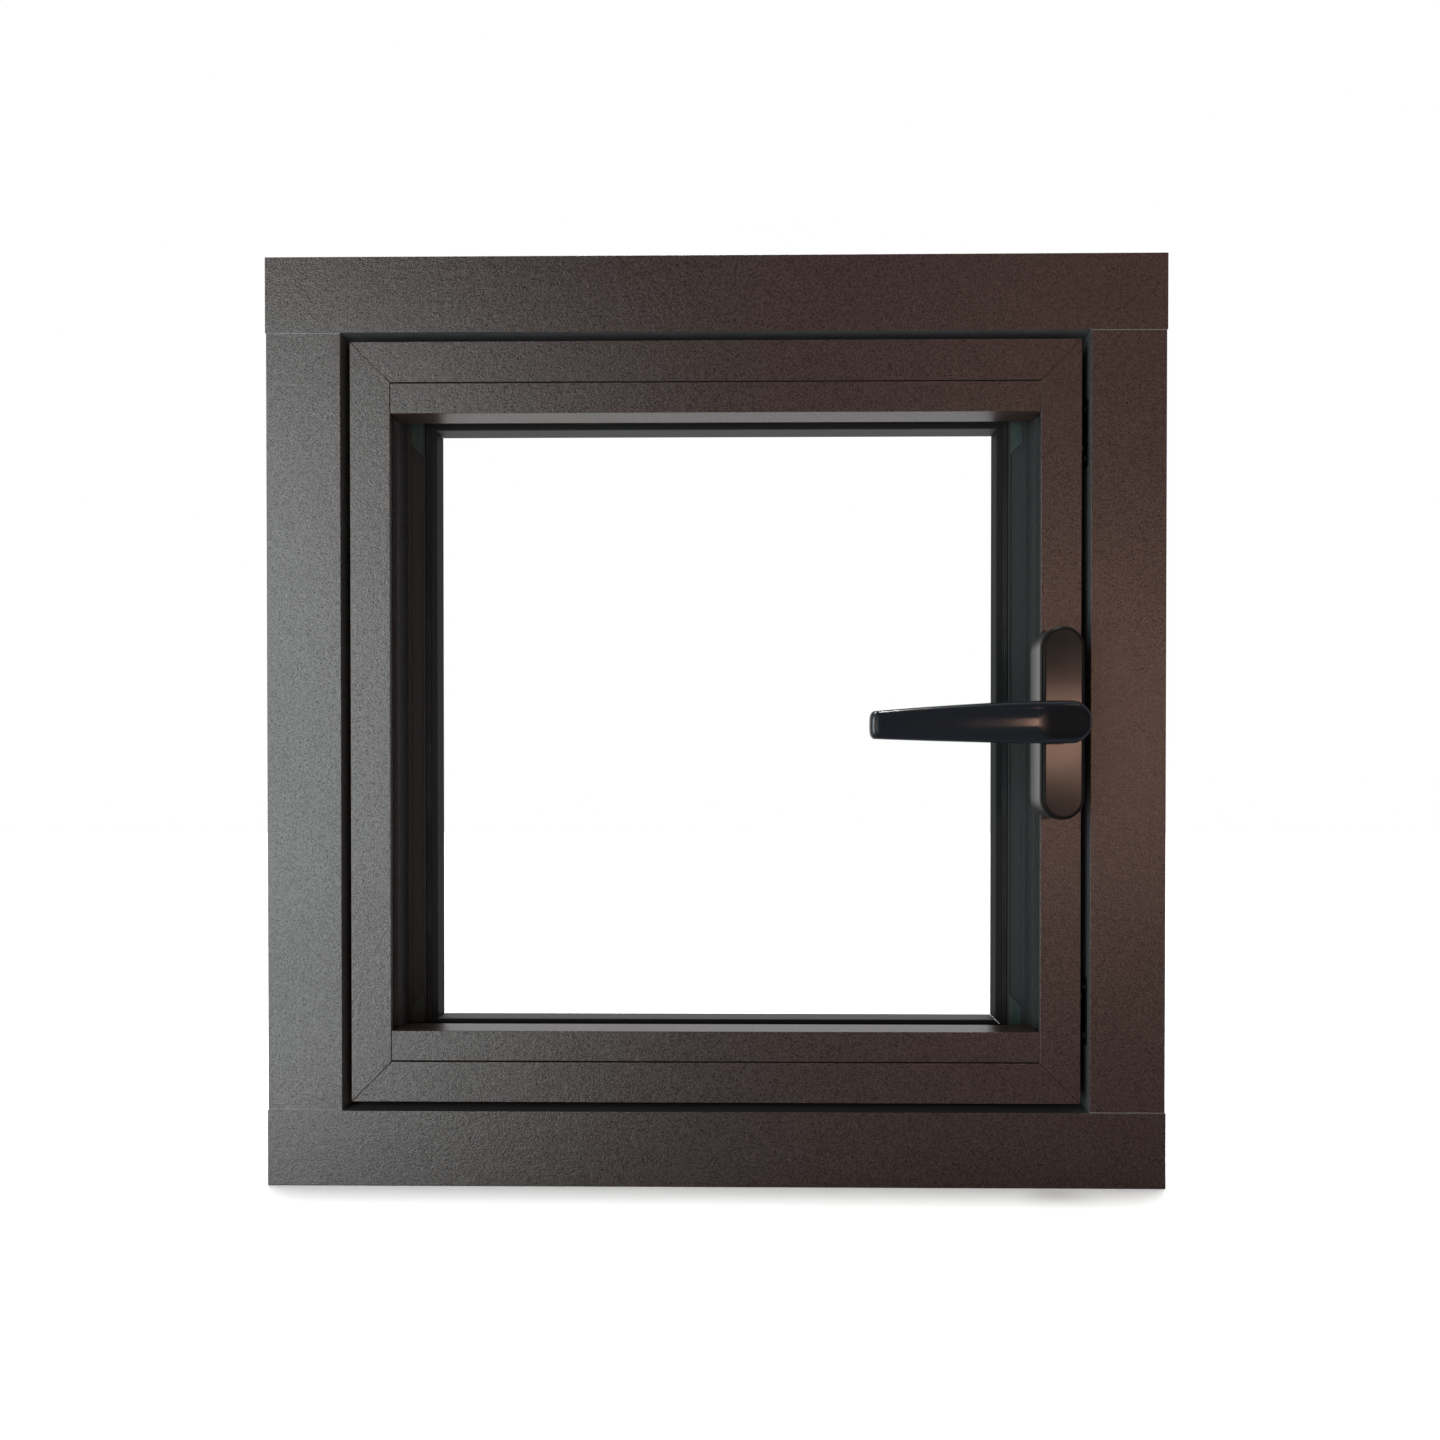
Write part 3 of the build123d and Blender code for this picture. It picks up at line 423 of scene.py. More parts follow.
def powder_coat(name, colour, roughness, size, along, speckle=0.5, lines=0.096, ends=None,
                mitre=False):
    """Satin powder coat with speckle, orange peel, faint die lines, a lighter grey band at the
    ends of upright pieces and a mitre hairline without shine.
    """
    m, tree, bsdf = new_material(name)
    grain = use_group(tree, GRAIN, Size=size, Stretch=along)
    dust = use_group(tree, DUST, Amount=0.6)
    base = mix_colour(tree, grain.outputs["Speckle"], shade(colour, 1 - speckle),
                      shade(colour, 1 + speckle))
    dusty = mix_colour(tree, dust.outputs["Specks"], base, shade(colour, 0.25))
    if ends:
        # the last bit at each end of an upright piece is coloured a lighter grey
        dusty = mix_colour(tree, cut_end(tree, *ends), dusty, END_BAND_GREY)
    tree.links.new(dusty, bsdf.inputs["Base Color"])
    rough = spread(tree, grain.outputs["Speckle"], 0, 1, roughness - 0.05, roughness + 0.07)
    rough = math_node(tree, "ADD", rough, spread(tree, dust.outputs["Smudge"], 0, 1, 0, 0.05))
    tree.links.new(rough, bsdf.inputs["Roughness"])
    height = math_node(tree, "MULTIPLY", grain.outputs["Speckle"], 0.6)
    height = math_node(tree, "ADD", height, grain.outputs["Peel"])
    drawn = math_node(tree, "MULTIPLY", grain.outputs["Lines"], lines)
    add_bump(tree, bsdf, math_node(tree, "ADD", height, drawn), 0.85, PEEL_DEPTH)
    shine = spread(tree, grain.outputs["Speckle"], 0, 1, 0.5 - speckle / 2, 0.5 + speckle / 2)
    if mitre:
        shine = math_node(tree, "MULTIPLY", shine,
                          spread(tree, mitre_line(tree), 0, 1, 1.0, 0.0))
    tree.links.new(shine, bsdf.inputs["Specular IOR Level"])
    return m


def satin_coat(name, colour, roughness, coat=0.0, shine=0.5):
    """Smooth satin enamel of the handle."""
    m, tree, bsdf = new_material(name)
    grain = use_group(tree, GRAIN, Size=0.0006, Stretch=(300, 300, 300))
    dust = use_group(tree, DUST, Amount=0.5)
    base = mix_colour(tree, grain.outputs["Speckle"], shade(colour, 0.85), shade(colour, 1.15))
    tree.links.new(base, bsdf.inputs["Base Color"])
    rough = spread(tree, dust.outputs["Smudge"], 0, 0.5, roughness, roughness + 0.07)
    tree.links.new(rough, bsdf.inputs["Roughness"])
    bsdf.inputs["Specular IOR Level"].default_value = shine
    bsdf.inputs["Coat Weight"].default_value = coat
    bsdf.inputs["Coat Roughness"].default_value = 0.2
    add_bump(tree, bsdf, grain.outputs["Peel"], 0.12, FINE_DEPTH)
    return m


def hub_coat(name, colour, roughness, shine):
    """The lever's enamel, going matt and darker towards the turning end."""
    m, tree, bsdf = new_material(name)
    start, end = (SPINDLE.x - reach for reach in INLAY_FADE)
    matt = spread(tree, axes_of(tree)["X"], start, end)
    base = mix_colour(tree, matt, colour, shade(colour, 0.4))
    tree.links.new(base, bsdf.inputs["Base Color"])
    tree.links.new(spread(tree, matt, 0, 1, roughness, 0.5), bsdf.inputs["Roughness"])
    tree.links.new(spread(tree, matt, 0, 1, shine, 0.06),
                   bsdf.inputs["Specular IOR Level"])
    return m


def painted_wall_light_shade(name, colour, shine=0.2):
    """Matt walls in the rebate and the shadow gap, their colour painted light and shade instead
    of the profile coat's own colour.
    """
    m, tree, bsdf = new_material(name)
    grain = use_group(tree, GRAIN, Size=0.0007, Stretch=(300, 300, 300))
    base = mix_colour(tree, grain.outputs["Speckle"], shade(colour, 0.7), shade(colour, 1.3))
    tree.links.new(base, bsdf.inputs["Base Color"])
    tree.links.new(spread(tree, grain.outputs["Speckle"], 0, 1, 0.5, 0.62),
                   bsdf.inputs["Roughness"])
    bsdf.inputs["Specular IOR Level"].default_value = shine
    add_bump(tree, bsdf, grain.outputs["Peel"], 0.2, FINE_DEPTH)
    return m


def rubber(name, colour=(0.008, 0.008, 0.0085)):
    """Extruded rubber with faint drawn streaks."""
    m, tree, bsdf = new_material(name)
    grain = use_group(tree, GRAIN, Size=0.0005, Stretch=(500, 500, 500))
    dust = use_group(tree, DUST, Amount=1.0)
    base = mix_colour(tree, grain.outputs["Speckle"], shade(colour, 0.8), shade(colour, 1.4))
    bloom = mix_colour(tree, dust.outputs["Smudge"], base, shade(colour, 2.4))
    tree.links.new(bloom, bsdf.inputs["Base Color"])
    tree.links.new(spread(tree, grain.outputs["Lines"], 0, 1, 0.5, 0.66),
                   bsdf.inputs["Roughness"])
    bsdf.inputs["Specular IOR Level"].default_value = 0.08
    add_bump(tree, bsdf, grain.outputs["Speckle"], 0.2, DRAWN_DEPTH)
    return m


def polyamide(name):
    """Black insulating strip with glass fibre flecks."""
    m, tree, bsdf = new_material(name)
    grain = use_group(tree, GRAIN, Size=0.00035, Stretch=(700, 700, 700))
    flecks = spread(tree, grain.outputs["Speckle"], 0.72, 0.95)
    base = mix_colour(tree, flecks, (0.016, 0.016, 0.017), (0.06, 0.06, 0.06))
    tree.links.new(base, bsdf.inputs["Base Color"])
    tree.links.new(spread(tree, grain.outputs["Peel"], 0.3, 0.7, 0.48, 0.62),
                   bsdf.inputs["Roughness"])
    add_bump(tree, bsdf, grain.outputs["Speckle"], 0.25, FINE_DEPTH)
    return m


def drawn_metal(name, colour, roughness, along=(40, 40, 1200), tarnish=0.25):
    """Bare metal with draw lines and a little tarnish."""
    m, tree, bsdf = new_material(name)
    grain = use_group(tree, GRAIN, Size=0.0004, Stretch=along)
    dust = use_group(tree, DUST, Amount=1.0)
    base = mix_colour(tree, grain.outputs["Lines"], shade(colour, 0.85), shade(colour, 1.1))
    aged = mix_colour(tree, dust.outputs["Smudge"], base, shade(colour, 1 - tarnish))
    tree.links.new(aged, bsdf.inputs["Base Color"])
    tree.links.new(spread(tree, grain.outputs["Lines"], 0, 1, roughness, roughness + 0.14),
                   bsdf.inputs["Roughness"])
    bsdf.inputs["Metallic"].default_value = 1.0
    add_bump(tree, bsdf, grain.outputs["Lines"], 0.1, DRAWN_DEPTH)
    return m


def plate_finish(name, colour):
    """Dull grey-green stamped sheet of the corner plates."""
    m, tree, bsdf = new_material(name)
    grain = use_group(tree, GRAIN, Size=0.0007, Stretch=(200, 200, 200))
    base = mix_colour(tree, grain.outputs["Peel"], shade(colour, 0.7), shade(colour, 1.3))
    tree.links.new(base, bsdf.inputs["Base Color"])
    tree.links.new(spread(tree, grain.outputs["Speckle"], 0, 1, 0.4, 0.55),
                   bsdf.inputs["Roughness"])
    bsdf.inputs["Metallic"].default_value = 0.35
    add_bump(tree, bsdf, grain.outputs["Speckle"], 0.15, DRAWN_DEPTH)
    return m


def finish(node_name, material, *spots):
    """Give a CAD node its material, and others to the faces their tests pick."""
    mesh = NODES[node_name].data
    mesh.materials.clear()
    mesh.materials.append(material)
    for number, (other, where) in enumerate(spots, 1):
        mesh.materials.append(other)
        for p in mesh.polygons:
            if where(p.center, p.normal):
                p.material_index = number


def within(at, half_x, half_up, behind):
    """True in an opening of the given half sizes, and some way behind the indoor face."""
    return (abs(at.x) < half_x and abs(at.z - SASH_MID) < half_up
            and at.y > INDOOR_Y + behind)


def in_rebate(at, normal):
    """True inside the sash's opening, between its indoor and its outdoor face."""
    return within(at, REBATE_X, REBATE_UP, 0.5 * MM) and normal.y < 0.5


def on_lip(at, normal):
    """True on the upright edges of the glazing lip, beside the opening."""
    return within(at, LIP_X, REBATE_UP, 0.5 * MM) and normal.y < 0.5 and abs(normal.z) < 0.5


def in_gap(at, _normal):
    """True on the frame's side walls round the sash."""
    return within(at, GAP_X, GAP_UP, 0.6 * MM)


def on_rim(_at, normal):
    """True on the rounded edge of the base's cover, where the painted shade goes."""
    return normal.y > -0.995


# ---- mesh helpers ----
def outward_mesh(name, verts, faces, weld=0.0):
    """A mesh whose faces look outward, with points closer than weld joined."""
    mesh = bpy.data.meshes.new(name)
    mesh.from_pydata([tuple(v) for v in verts], [], faces)
    bm = bmesh.new()
    bm.from_mesh(mesh)
    if weld:
        bmesh.ops.remove_doubles(bm, verts=bm.verts, dist=weld)
    bmesh.ops.recalc_face_normals(bm, faces=bm.faces)
    bm.to_mesh(mesh)
    bm.free()
    return mesh


def mesh_object(name, verts, faces, material, smooth=True):
    """A mesh piece with outward faces."""
    mesh = outward_mesh(name, verts, faces, WELD)
    for p in mesh.polygons:
        p.use_smooth = smooth
    mesh.materials.append(material)
    obj = bpy.data.objects.new(name, mesh)
    bpy.context.scene.collection.objects.link(obj)
    return obj


def skin(rings, closed_start=True, closed_end=True):
    """Faces between rings of points, with fans closing the ends."""
    verts, faces = [], []
    n = len(rings[0])
    for ring in rings:
        verts.extend(ring)
    for i in range(len(rings) - 1):
        for j in range(n):
            a, b = i * n + j, i * n + (j + 1) % n
            faces.append((a, b, b + n, a + n))
    for wanted, start in ((closed_start, 0), (closed_end, (len(rings) - 1) * n)):
        if not wanted:
            continue
        mid = sum((Vector(v) for v in verts[start:start + n]), Vector()) / n
        verts.append(tuple(mid))
        tip = len(verts) - 1
        for j in range(n):
            faces.append((start + j, start + (j + 1) % n, tip))
    return verts, faces


def lathe(profile, sides, place):
    """Faces of (radius, height) points turned about a placed Z axis."""
    rings = []
    for r, h in profile:
        rings.append([
            place @ Vector((r * math.cos(2 * math.pi * k / sides),
                            r * math.sin(2 * math.pi * k / sides), h))
            for k in range(sides)
        ])
    return skin(rings)


def signed_power(value, power):
    """A power that keeps the sign, for superellipse sections."""
    return math.copysign(abs(value) ** power, value)


# ---- lever ----
def inlay_distance(x, z):
    """Distance from the outline of the hub's inlay, negative inside it."""
    left = SPINDLE.x - INLAY_LENGTH + INLAY_R
    nearest = min(max(x, left), SPINDLE.x + INLAY_SHIFT)
    return math.dist((x, z), (nearest, SPINDLE.z)) - INLAY_R


def lever_point(x, k, half_width, thickness, y_mid, s, drop):
    """One point of a section: crowned in front, flatter behind, grooved where it is thick."""
    flat_back = 0.86
    a = 2 * math.pi * k / s.sides
    power = 2.0 / s.squareness
    across = signed_power(math.cos(a), power)
    out = signed_power(math.sin(a), power)
    z = SPINDLE.z - drop + across * half_width
    y = y_mid + out * (1.0 if out < 0 else flat_back) * thickness / 2
    if out < 0 and thickness > 8 * MM:
        edge = max(1 - abs(inlay_distance(x, z)) / GROOVE_HALF, 0.0)
        near = min(max((x - SPINDLE.x) / GROOVE_FADE + 1.2, 0.0), 1.0)
        y += GROOVE_DEEP * near * edge * edge * (3 - 2 * edge)
    return x, y, z


def lever_section(x, half_width, thickness, y_mid, s, drop=0.0):
    """One ring of the arm."""
    return [lever_point(x, k, half_width, thickness, y_mid, s, drop)
            for k in range(s.sides)]


def lever_profile(t, s):
    """Half width, thickness and drop of the arm, t from 0 at the spindle to 1 at the cap."""
    u = max((t - 0.2) / 0.8, 0.0)
    width = s.hub + (s.tip - s.hub) * (0.35 * u * u + 0.65 * u)
    thick = s.thickness + (s.tip_thickness - s.thickness) * t ** 1.3
    return width, thick, s.drop * t ** 1.5


def lever_rings(s, y_mid):
    """All sections of the arm, from the round hub end to the cap's seat."""
    rings = []
    hub_steps, near_steps = 48, 90
    outline, crown = 2.2, 7
    for k in range(hub_steps + 1):
        dx = math.cos(math.pi / 2 * k / hub_steps)
        side = (1 - dx ** outline) ** (1 / outline) if dx < 1 else 0.0
        body = (1 - dx ** crown) ** (1 / crown) if dx < 1 else 0.0
        rings.append(lever_section(
            SPINDLE.x + HUB_END * dx, s.hub * max(side, 0.01),
            s.thickness * max(body, 0.25), y_mid, s))
    length = SPINDLE.x - CAP_HIGH.x
    fine = FINE_LENGTH / length
    steps = [fine * k / near_steps for k in range(1, near_steps + 1)]
    steps += [fine + (1 - fine) * k / s.rings for k in range(1, s.rings + 1)]
    for t in steps:
        width, thick, drop = lever_profile(t, s)
        rings.append(lever_section(SPINDLE.x - length * t, width, thick, y_mid, s, drop))
    width, thick, drop = lever_profile(1.0, s)
    for shrink in (0.985, 0.93):
        rings.append(lever_section(
            CAP_HIGH.x - HAIR, width * shrink, thick * shrink, y_mid, s, drop))
    return rings


def cap_rings(s, y_mid):
    """The cap: a shadow line, a thin rim and a shallow dome."""
    width, thick, drop = lever_profile(1.0, s)
    x1 = CAP_HIGH.x
    depth = CAP_HIGH.x - CAP_LOW.x
    rings = []
    steps = 12
    seat = ((0.0, 0.9), (0.0003, 0.9), (0.0003, 0.98), (0.0005, 1.0), (CAP_RIM, 1.0))
    for x, k in seat:
        rings.append(lever_section(x1 - x, width * k, thick * k, y_mid, s, drop))
    for k in range(1, steps + 1):
        a = math.pi / 2 * k / steps
        shrink = max(math.cos(a) ** 0.5, 0.02)
        x = CAP_RIM + (depth - CAP_RIM) * math.sin(a)
        rings.append(lever_section(
            x1 - x, width * shrink, thick * shrink, y_mid, s, drop))
    return rings


class WINDOW_OT_lever(bpy.types.Operator):
    """Model the lever with its neck, and the domed cap on its free end"""

    bl_idname = "window.lever"
    bl_label = "Lever and cap"

    def execute(self, context):
        s = context.scene.window_lever
        coat = context.scene.window_coat
        satin = satin_coat("lever_satin_black", coat.handle, 0.1, shine=0.16)
        inlay = hub_coat("inlay_matt_black", coat.handle, 0.1, 0.16)
        y_mid = LEVER_LOW.y + s.thickness / 2
        verts, faces = skin(lever_rings(s, y_mid))
        neck_back = COVER_LOW.y - y_mid + NECK_OVERLAP
        neck = [(NECK_R, 0.0), (NECK_R, neck_back), (NECK_R - 0.2 * MM, neck_back)]
        turn = Matrix.Translation((SPINDLE.x, y_mid, SPINDLE.z)) @ Matrix.Rotation(
            -math.pi / 2, 4, "X")
        more, more_faces = lathe(neck, 48, turn)
        shift = len(verts)
        faces += [tuple(i + shift for i in f) for f in more_faces]
        lever = mesh_object("handle_lever_skin", verts + more, faces, satin)
        lever.data.materials.append(inlay)
        for p in lever.data.polygons:
            if p.center.y < y_mid and inlay_distance(p.center.x, p.center.z) < 0:
                p.material_index = 1
        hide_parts("handle_lever")
        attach(lever, "handle")
        verts, faces = skin(cap_rings(s, y_mid))
        cap = mesh_object("handle_lever_cap_dome", verts, faces,
                          satin_coat("cap_plastic", shade(coat.handle, 1.3), 0.34))
        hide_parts("handle_lever_cap")
        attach(cap, "handle")
        return {"FINISHED"}


# ---- finishes of the CAD pieces ----
class WINDOW_OT_profiles(bpy.types.Operator):
    """Powder coat the frame, the sash and the glazing beads along their drawing direction, and
    paint light and shade on the walls in the rebate, in the gap and beside the glazing lip
    """

    bl_idname = "window.profiles"
    bl_label = "Profile coats"

    def execute(self, context):
        coat = context.scene.window_coat
        look = (coat.profile, coat.roughness, coat.grain)
        plain = powder_coat("powder_coat_lying", *look, ALONG_X)
        rail = powder_coat("powder_coat_rail", *look, ALONG_X, mitre=True)
        stile = powder_coat("powder_coat_stile", *look, ALONG_Z, mitre=True)
        jamb = powder_coat("powder_coat_jamb", *look, ALONG_Z, ends=(JAMB_LOW.z, JAMB_HIGH.z))
        # The rebate walls get painted shade in a cool grey, the gap walls painted light and the
        # lip's edges darker painted shade, in place of the coat's own colour.
        rebate_painted_shade = painted_wall_light_shade("painted_shade_rebate_wall", (0.022, 0.0228, 0.0234))
        gap_painted_light = painted_wall_light_shade("painted_light_gap_wall", (0.048, 0.05, 0.051))
        lip_painted_shade = painted_wall_light_shade("painted_shade_lip_wall", (0.009, 0.0092, 0.0096), 0.03)
        for name in NODES:
            if name.endswith("_bead"):
                finish(name, plain)
            elif name.endswith(("_inner", "_outer")) and name.startswith("sash"):
                finish(name, stile if "stile" in name else rail,
                       (rebate_painted_shade, in_rebate), (lip_painted_shade, on_lip))
            elif name.endswith(("_inner", "_outer")):
                finish(name, jamb if "jamb" in name else plain, (gap_painted_light, in_gap))
        return {"FINISHED"}


class WINDOW_OT_seals(bpy.types.Operator):
    """Finish the rubber seals and the insulating strips"""

    bl_idname = "window.seals"
    bl_label = "Seals and strips"

    def execute(self, context):
        seal = rubber("seal_rubber_black")
        strip = polyamide("strip_polyamide")
        for name in ("frame_gasket", "glazing_gasket", "sash_perimeter_seal"):
            finish(name, seal)
        for name in NODES:
            if name.endswith("_thermal_strips"):
                finish(name, strip)
        return {"FINISHED"}


class WINDOW_OT_corners(bpy.types.Operator):
    """Finish the corner cleats and the corner plates"""

    bl_idname = "window.corners"
    bl_label = "Corner parts"

    def execute(self, context):
        cleat = drawn_metal("cleat_aluminium_mill", (0.72, 0.73, 0.74), 0.3)
        finish("inner_corner_cleats", cleat)
        finish("outer_corner_cleats", cleat)
        finish("corner_alignment_plates",
               plate_finish("corner_plate_green", context.scene.window_coat.plate))
        return {"FINISHED"}


class WINDOW_OT_hinges(bpy.types.Operator):
    """Finish the hinge leaves and their pins"""

    bl_idname = "window.hinges"
    bl_label = "Hinges"

    def execute(self, context):
        coat = context.scene.window_coat
        leaf = powder_coat("hinge_coat_brown", shade(coat.profile, 0.85), coat.roughness - 0.04,
                           coat.grain, ALONG_Z, speckle=0.2, lines=0.0)
        for name in NODES:
            if name.endswith("_leaf"):
                finish(name, leaf)
        finish("hinge_pins", drawn_metal("pin_steel_ground", (0.6, 0.6, 0.6), 0.2, ALONG_Z))
        return {"FINISHED"}


class WINDOW_OT_lock(bpy.types.Operator):
    """Finish the drive rods, the gear, the lock pins and the keeps"""

    bl_idname = "window.lock"
    bl_label = "Lock and drive"

    def execute(self, context):
        gear = drawn_metal("gear_steel_oiled", (0.42, 0.41, 0.4), 0.32)
        rod = drawn_metal("rod_aluminium_drawn", (0.68, 0.69, 0.7), 0.28, ALONG_Z)
        lock = drawn_metal("lock_steel_blackened", (0.03, 0.03, 0.032), 0.4, tarnish=0.4)
        for name in ("handle_spindle", "handle_grub_screw", "handle_retaining_ring",
                     "drive_pinion", "detent_ball", "detent_spring", "upper_drive_rack",
                     "lower_drive_rack"):
            finish(name, gear)
        for name in ("upper_drive_rod", "lower_drive_rod"):
            finish(name, rod)
        for name in ("upper_lock_pin", "lower_lock_pin", "upper_keep", "lower_keep"):
            finish(name, lock)
        return {"FINISHED"}


class WINDOW_OT_base(bpy.types.Operator):
    """Finish the handle's base and its front cover, with painted shade on the cover's rounded
    rim
    """

    bl_idname = "window.base"
    bl_label = "Handle base"

    def execute(self, context):
        base = context.scene.window_coat.base
        finish("handle_base", satin_coat("base_satin", base, 0.3, coat=0.35))
        # The cover's rounded rim gets painted shade: a darker, duller copy of its satin coat.
        finish("handle_base_cover", satin_coat("cover_satin", shade(base, 0.6), 0.12, shine=0.1),
               (satin_coat("cover_rim_painted_shade", shade(base, 0.3), 0.35, shine=0.05), on_rim))
        return {"FINISHED"}


# ---- screws ----
def loose_boxes(name):
    """The separate solids of a CAD node, each as its list of points."""
    bm = bmesh.new()
    bm.from_mesh(NODES[name].data)
    bmesh.ops.remove_doubles(bm, verts=bm.verts, dist=WELD)
    left = set(bm.verts)
    found = []
    while left:
        reached = [left.pop()]
        for v in reached:
            for e in v.link_edges:
                other = e.other_vert(v)
                if other in left:
                    left.remove(other)
                    reached.append(other)
        found.append([v.co.copy() for v in reached])
    bm.free()
    return found


def screw_place(points):
    """Middle of a screw's head, its direction into the part, its length and radii."""
    low = Vector(min(p[i] for p in points) for i in range(3))
    high = Vector(max(p[i] for p in points) for i in range(3))
    size = high - low
    k = max(range(3), key=lambda i: size[i])
    mid = (low + high) / 2
    ends = []
    for edge in (low, high):
        near = [p for p in points if abs(p[k] - edge[k]) < 1e-5]
        radius = max(math.dist(
            [p[i] for i in range(3) if i != k], [mid[i] for i in range(3) if i != k])
            for p in near)
        at = mid.copy()
        at[k] = edge[k]
        ends.append((radius, at))
    ends.sort(key=lambda e: -e[0])
    (head, top), (shank, foot) = ends
    return top, (foot - top).normalized(), size[k], head, shank


def recess_depth(x, y, head):
    """How deep the crossed recess is at a point of the head."""
    arm, half = head * 0.56, head * 0.13
    wing = min(max((arm - max(abs(x), abs(y))) / (head * 0.12), 0.0), 1.0)
    slot = min(max((half - min(abs(x), abs(y))) / (head * 0.06), 0.0), 1.0)
    return head * 0.32 * wing * slot


def screw_mesh(name, head, shank, length, pitch):
    """One countersunk screw, its head on the plane Z 0 and its point along Z."""
    sides = 48
    thread = min(length * 0.62, 22 * MM)
    taper = 1.2 * MM
    rim = 0.16 * MM
    cone = head - shank
    turns = [(head * k / 26, 0.0) for k in range(1, 26)]
    turns += [(head * 0.985, 0.0), (head, 0.06 * MM), (head, rim)]
    turns += [(head - cone * k / 3, rim + (cone - rim) * k / 3) for k in (1, 2, 3)]
    turns += [(shank, length - thread)]
    steps = max(int(thread / pitch * 7), 8)
    rings = []
    for r, z in turns:
        ring = []
        for k in range(sides):
            a = 2 * math.pi * k / sides
            x, y = r * math.cos(a), r * math.sin(a)
            ring.append((x, y, z + (recess_depth(x, y, head) if z == 0.0 else 0.0)))
        rings.append(ring)
    for i in range(1, steps + 1):
        z = length - thread + thread * i / steps
        end = min((length - z) / taper, 1.0)
        ring = []
        for k in range(sides):
            a = 2 * math.pi * k / sides
            wave = abs(((z / pitch - k / sides) % 1.0) - 0.5) * 2
            r = shank * (0.76 + 0.24 * wave) * (0.55 + 0.45 * end)
            ring.append((r * math.cos(a), r * math.sin(a), z))
        rings.append(ring)
    return outward_mesh(name, *skin(rings))


def screw_tree(name):
    """Geometry nodes: a screw on every point, along its direction, at a random turn."""
    tree = bpy.data.node_groups.new(name, "GeometryNodeTree")
    sockets = {}
    for label, kind, way in (
            ("Places", "NodeSocketGeometry", "INPUT"), ("Screw", "NodeSocketObject", "INPUT"),
            ("Finish", "NodeSocketMaterial", "INPUT"), ("Seed", "NodeSocketInt", "INPUT"),
            ("Screws", "NodeSocketGeometry", "OUTPUT")):
        sockets[label] = tree.interface.new_socket(label, in_out=way, socket_type=kind)
    start = tree.nodes.new("NodeGroupInput")
    end = tree.nodes.new("NodeGroupOutput")
    source = tree.nodes.new("GeometryNodeObjectInfo")
    axis = node(tree, "GeometryNodeInputNamedAttribute", Name="along")
    axis.data_type = "FLOAT_VECTOR"
    align = tree.nodes.new("FunctionNodeAlignRotationToVector")
    align.axis = "Z"
    spin = tree.nodes.new("FunctionNodeRandomValue")
    spin.data_type = "FLOAT"
    spin.inputs[2].default_value = 0.0
    spin.inputs[3].default_value = 2 * math.pi
    about = tree.nodes.new("FunctionNodeAxisAngleToRotation")
    about.inputs["Axis"].default_value = (0, 0, 1)
    both = tree.nodes.new("FunctionNodeRotateRotation")
    both.rotation_space = "LOCAL"
    put = tree.nodes.new("GeometryNodeInstanceOnPoints")
    real = tree.nodes.new("GeometryNodeRealizeInstances")
    paint = tree.nodes.new("GeometryNodeSetMaterial")
    link = tree.links.new
    link(start.outputs["Screw"], source.inputs["Object"])
    link(start.outputs["Seed"], spin.inputs["Seed"])
    link(axis.outputs["Attribute"], align.inputs["Vector"])
    link(spin.outputs[1], about.inputs["Angle"])
    link(align.outputs["Rotation"], both.inputs["Rotation"])
    link(about.outputs["Rotation"], both.inputs["Rotate By"])
    link(start.outputs["Places"], put.inputs["Points"])
    link(source.outputs["Geometry"], put.inputs["Instance"])
    link(both.outputs["Rotation"], put.inputs["Rotation"])
    link(put.outputs["Instances"], real.inputs["Geometry"])
    link(real.outputs["Geometry"], paint.inputs["Geometry"])
    link(start.outputs["Finish"], paint.inputs["Material"])
    link(paint.outputs["Geometry"], end.inputs["Screws"])
    return tree, {label: s.identifier for label, s in sockets.items()}


def place_screws(cad_name, material, tree, ids, s):
    """Replace a CAD screw node by modelled screws at the same places, sorted by place."""
    places = [screw_place(p) for p in loose_boxes(cad_name)]
    places.sort(key=lambda place: [round(c, 4) for c in place[0]])
    _, _, length, head, shank = places[0]
    source = bpy.data.objects.new(
        cad_name + "_source", screw_mesh(cad_name + "_source", head, shank, length, s.pitch))
    points = bpy.data.meshes.new(cad_name + "_points")
    points.from_pydata([tuple(p[0]) for p in places], [], [])
    along = points.attributes.new("along", "FLOAT_VECTOR", "POINT")
    for item, p in zip(along.data, places):
        item.vector = p[1]
    holder = bpy.data.objects.new(cad_name + "_holder", points)
    bpy.context.scene.collection.objects.link(holder)
    mod = holder.modifiers.new("screws", "NODES")
    mod.node_group = tree
    mod[ids["Screw"]] = source
    mod[ids["Finish"]] = material
    mod[ids["Seed"]] = s.seed
    graph = bpy.context.evaluated_depsgraph_get()
    made = bpy.data.meshes.new_from_object(holder.evaluated_get(graph))
    holder.modifiers.remove(mod)
    bpy.data.objects.remove(holder)
    bpy.data.objects.remove(source)
    made.name = cad_name + "_threaded"
    if len(made.polygons) == 0:
        raise RuntimeError(f"no screws came out for {cad_name}")
    if "along" in made.attributes:
        made.attributes.remove(made.attributes["along"])
    obj = bpy.data.objects.new(cad_name + "_threaded", made)
    bpy.context.scene.collection.objects.link(obj)
    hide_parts(cad_name)
    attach(obj, body_of(NODES[cad_name])[0])


class WINDOW_OT_screws(bpy.types.Operator):
    """Model the countersunk screws with crossed recesses and threads"""

    bl_idname = "window.screws"
    bl_label = "Screws"

    def execute(self, context):
        s = context.scene.window_screws
        steel = drawn_metal("screw_steel_zinc", (0.55, 0.55, 0.56), 0.3, (500, 500, 500), 0.4)
        tree, ids = screw_tree("screws_on_points")
        for name in ("hinge_frame_screws", "hinge_sash_screws", "frame_joint_screws",
                     "keep_screws"):
            place_screws(name, steel, tree, ids, s)
        finish("handle_fixing_screws", steel)
        return {"FINISHED"}


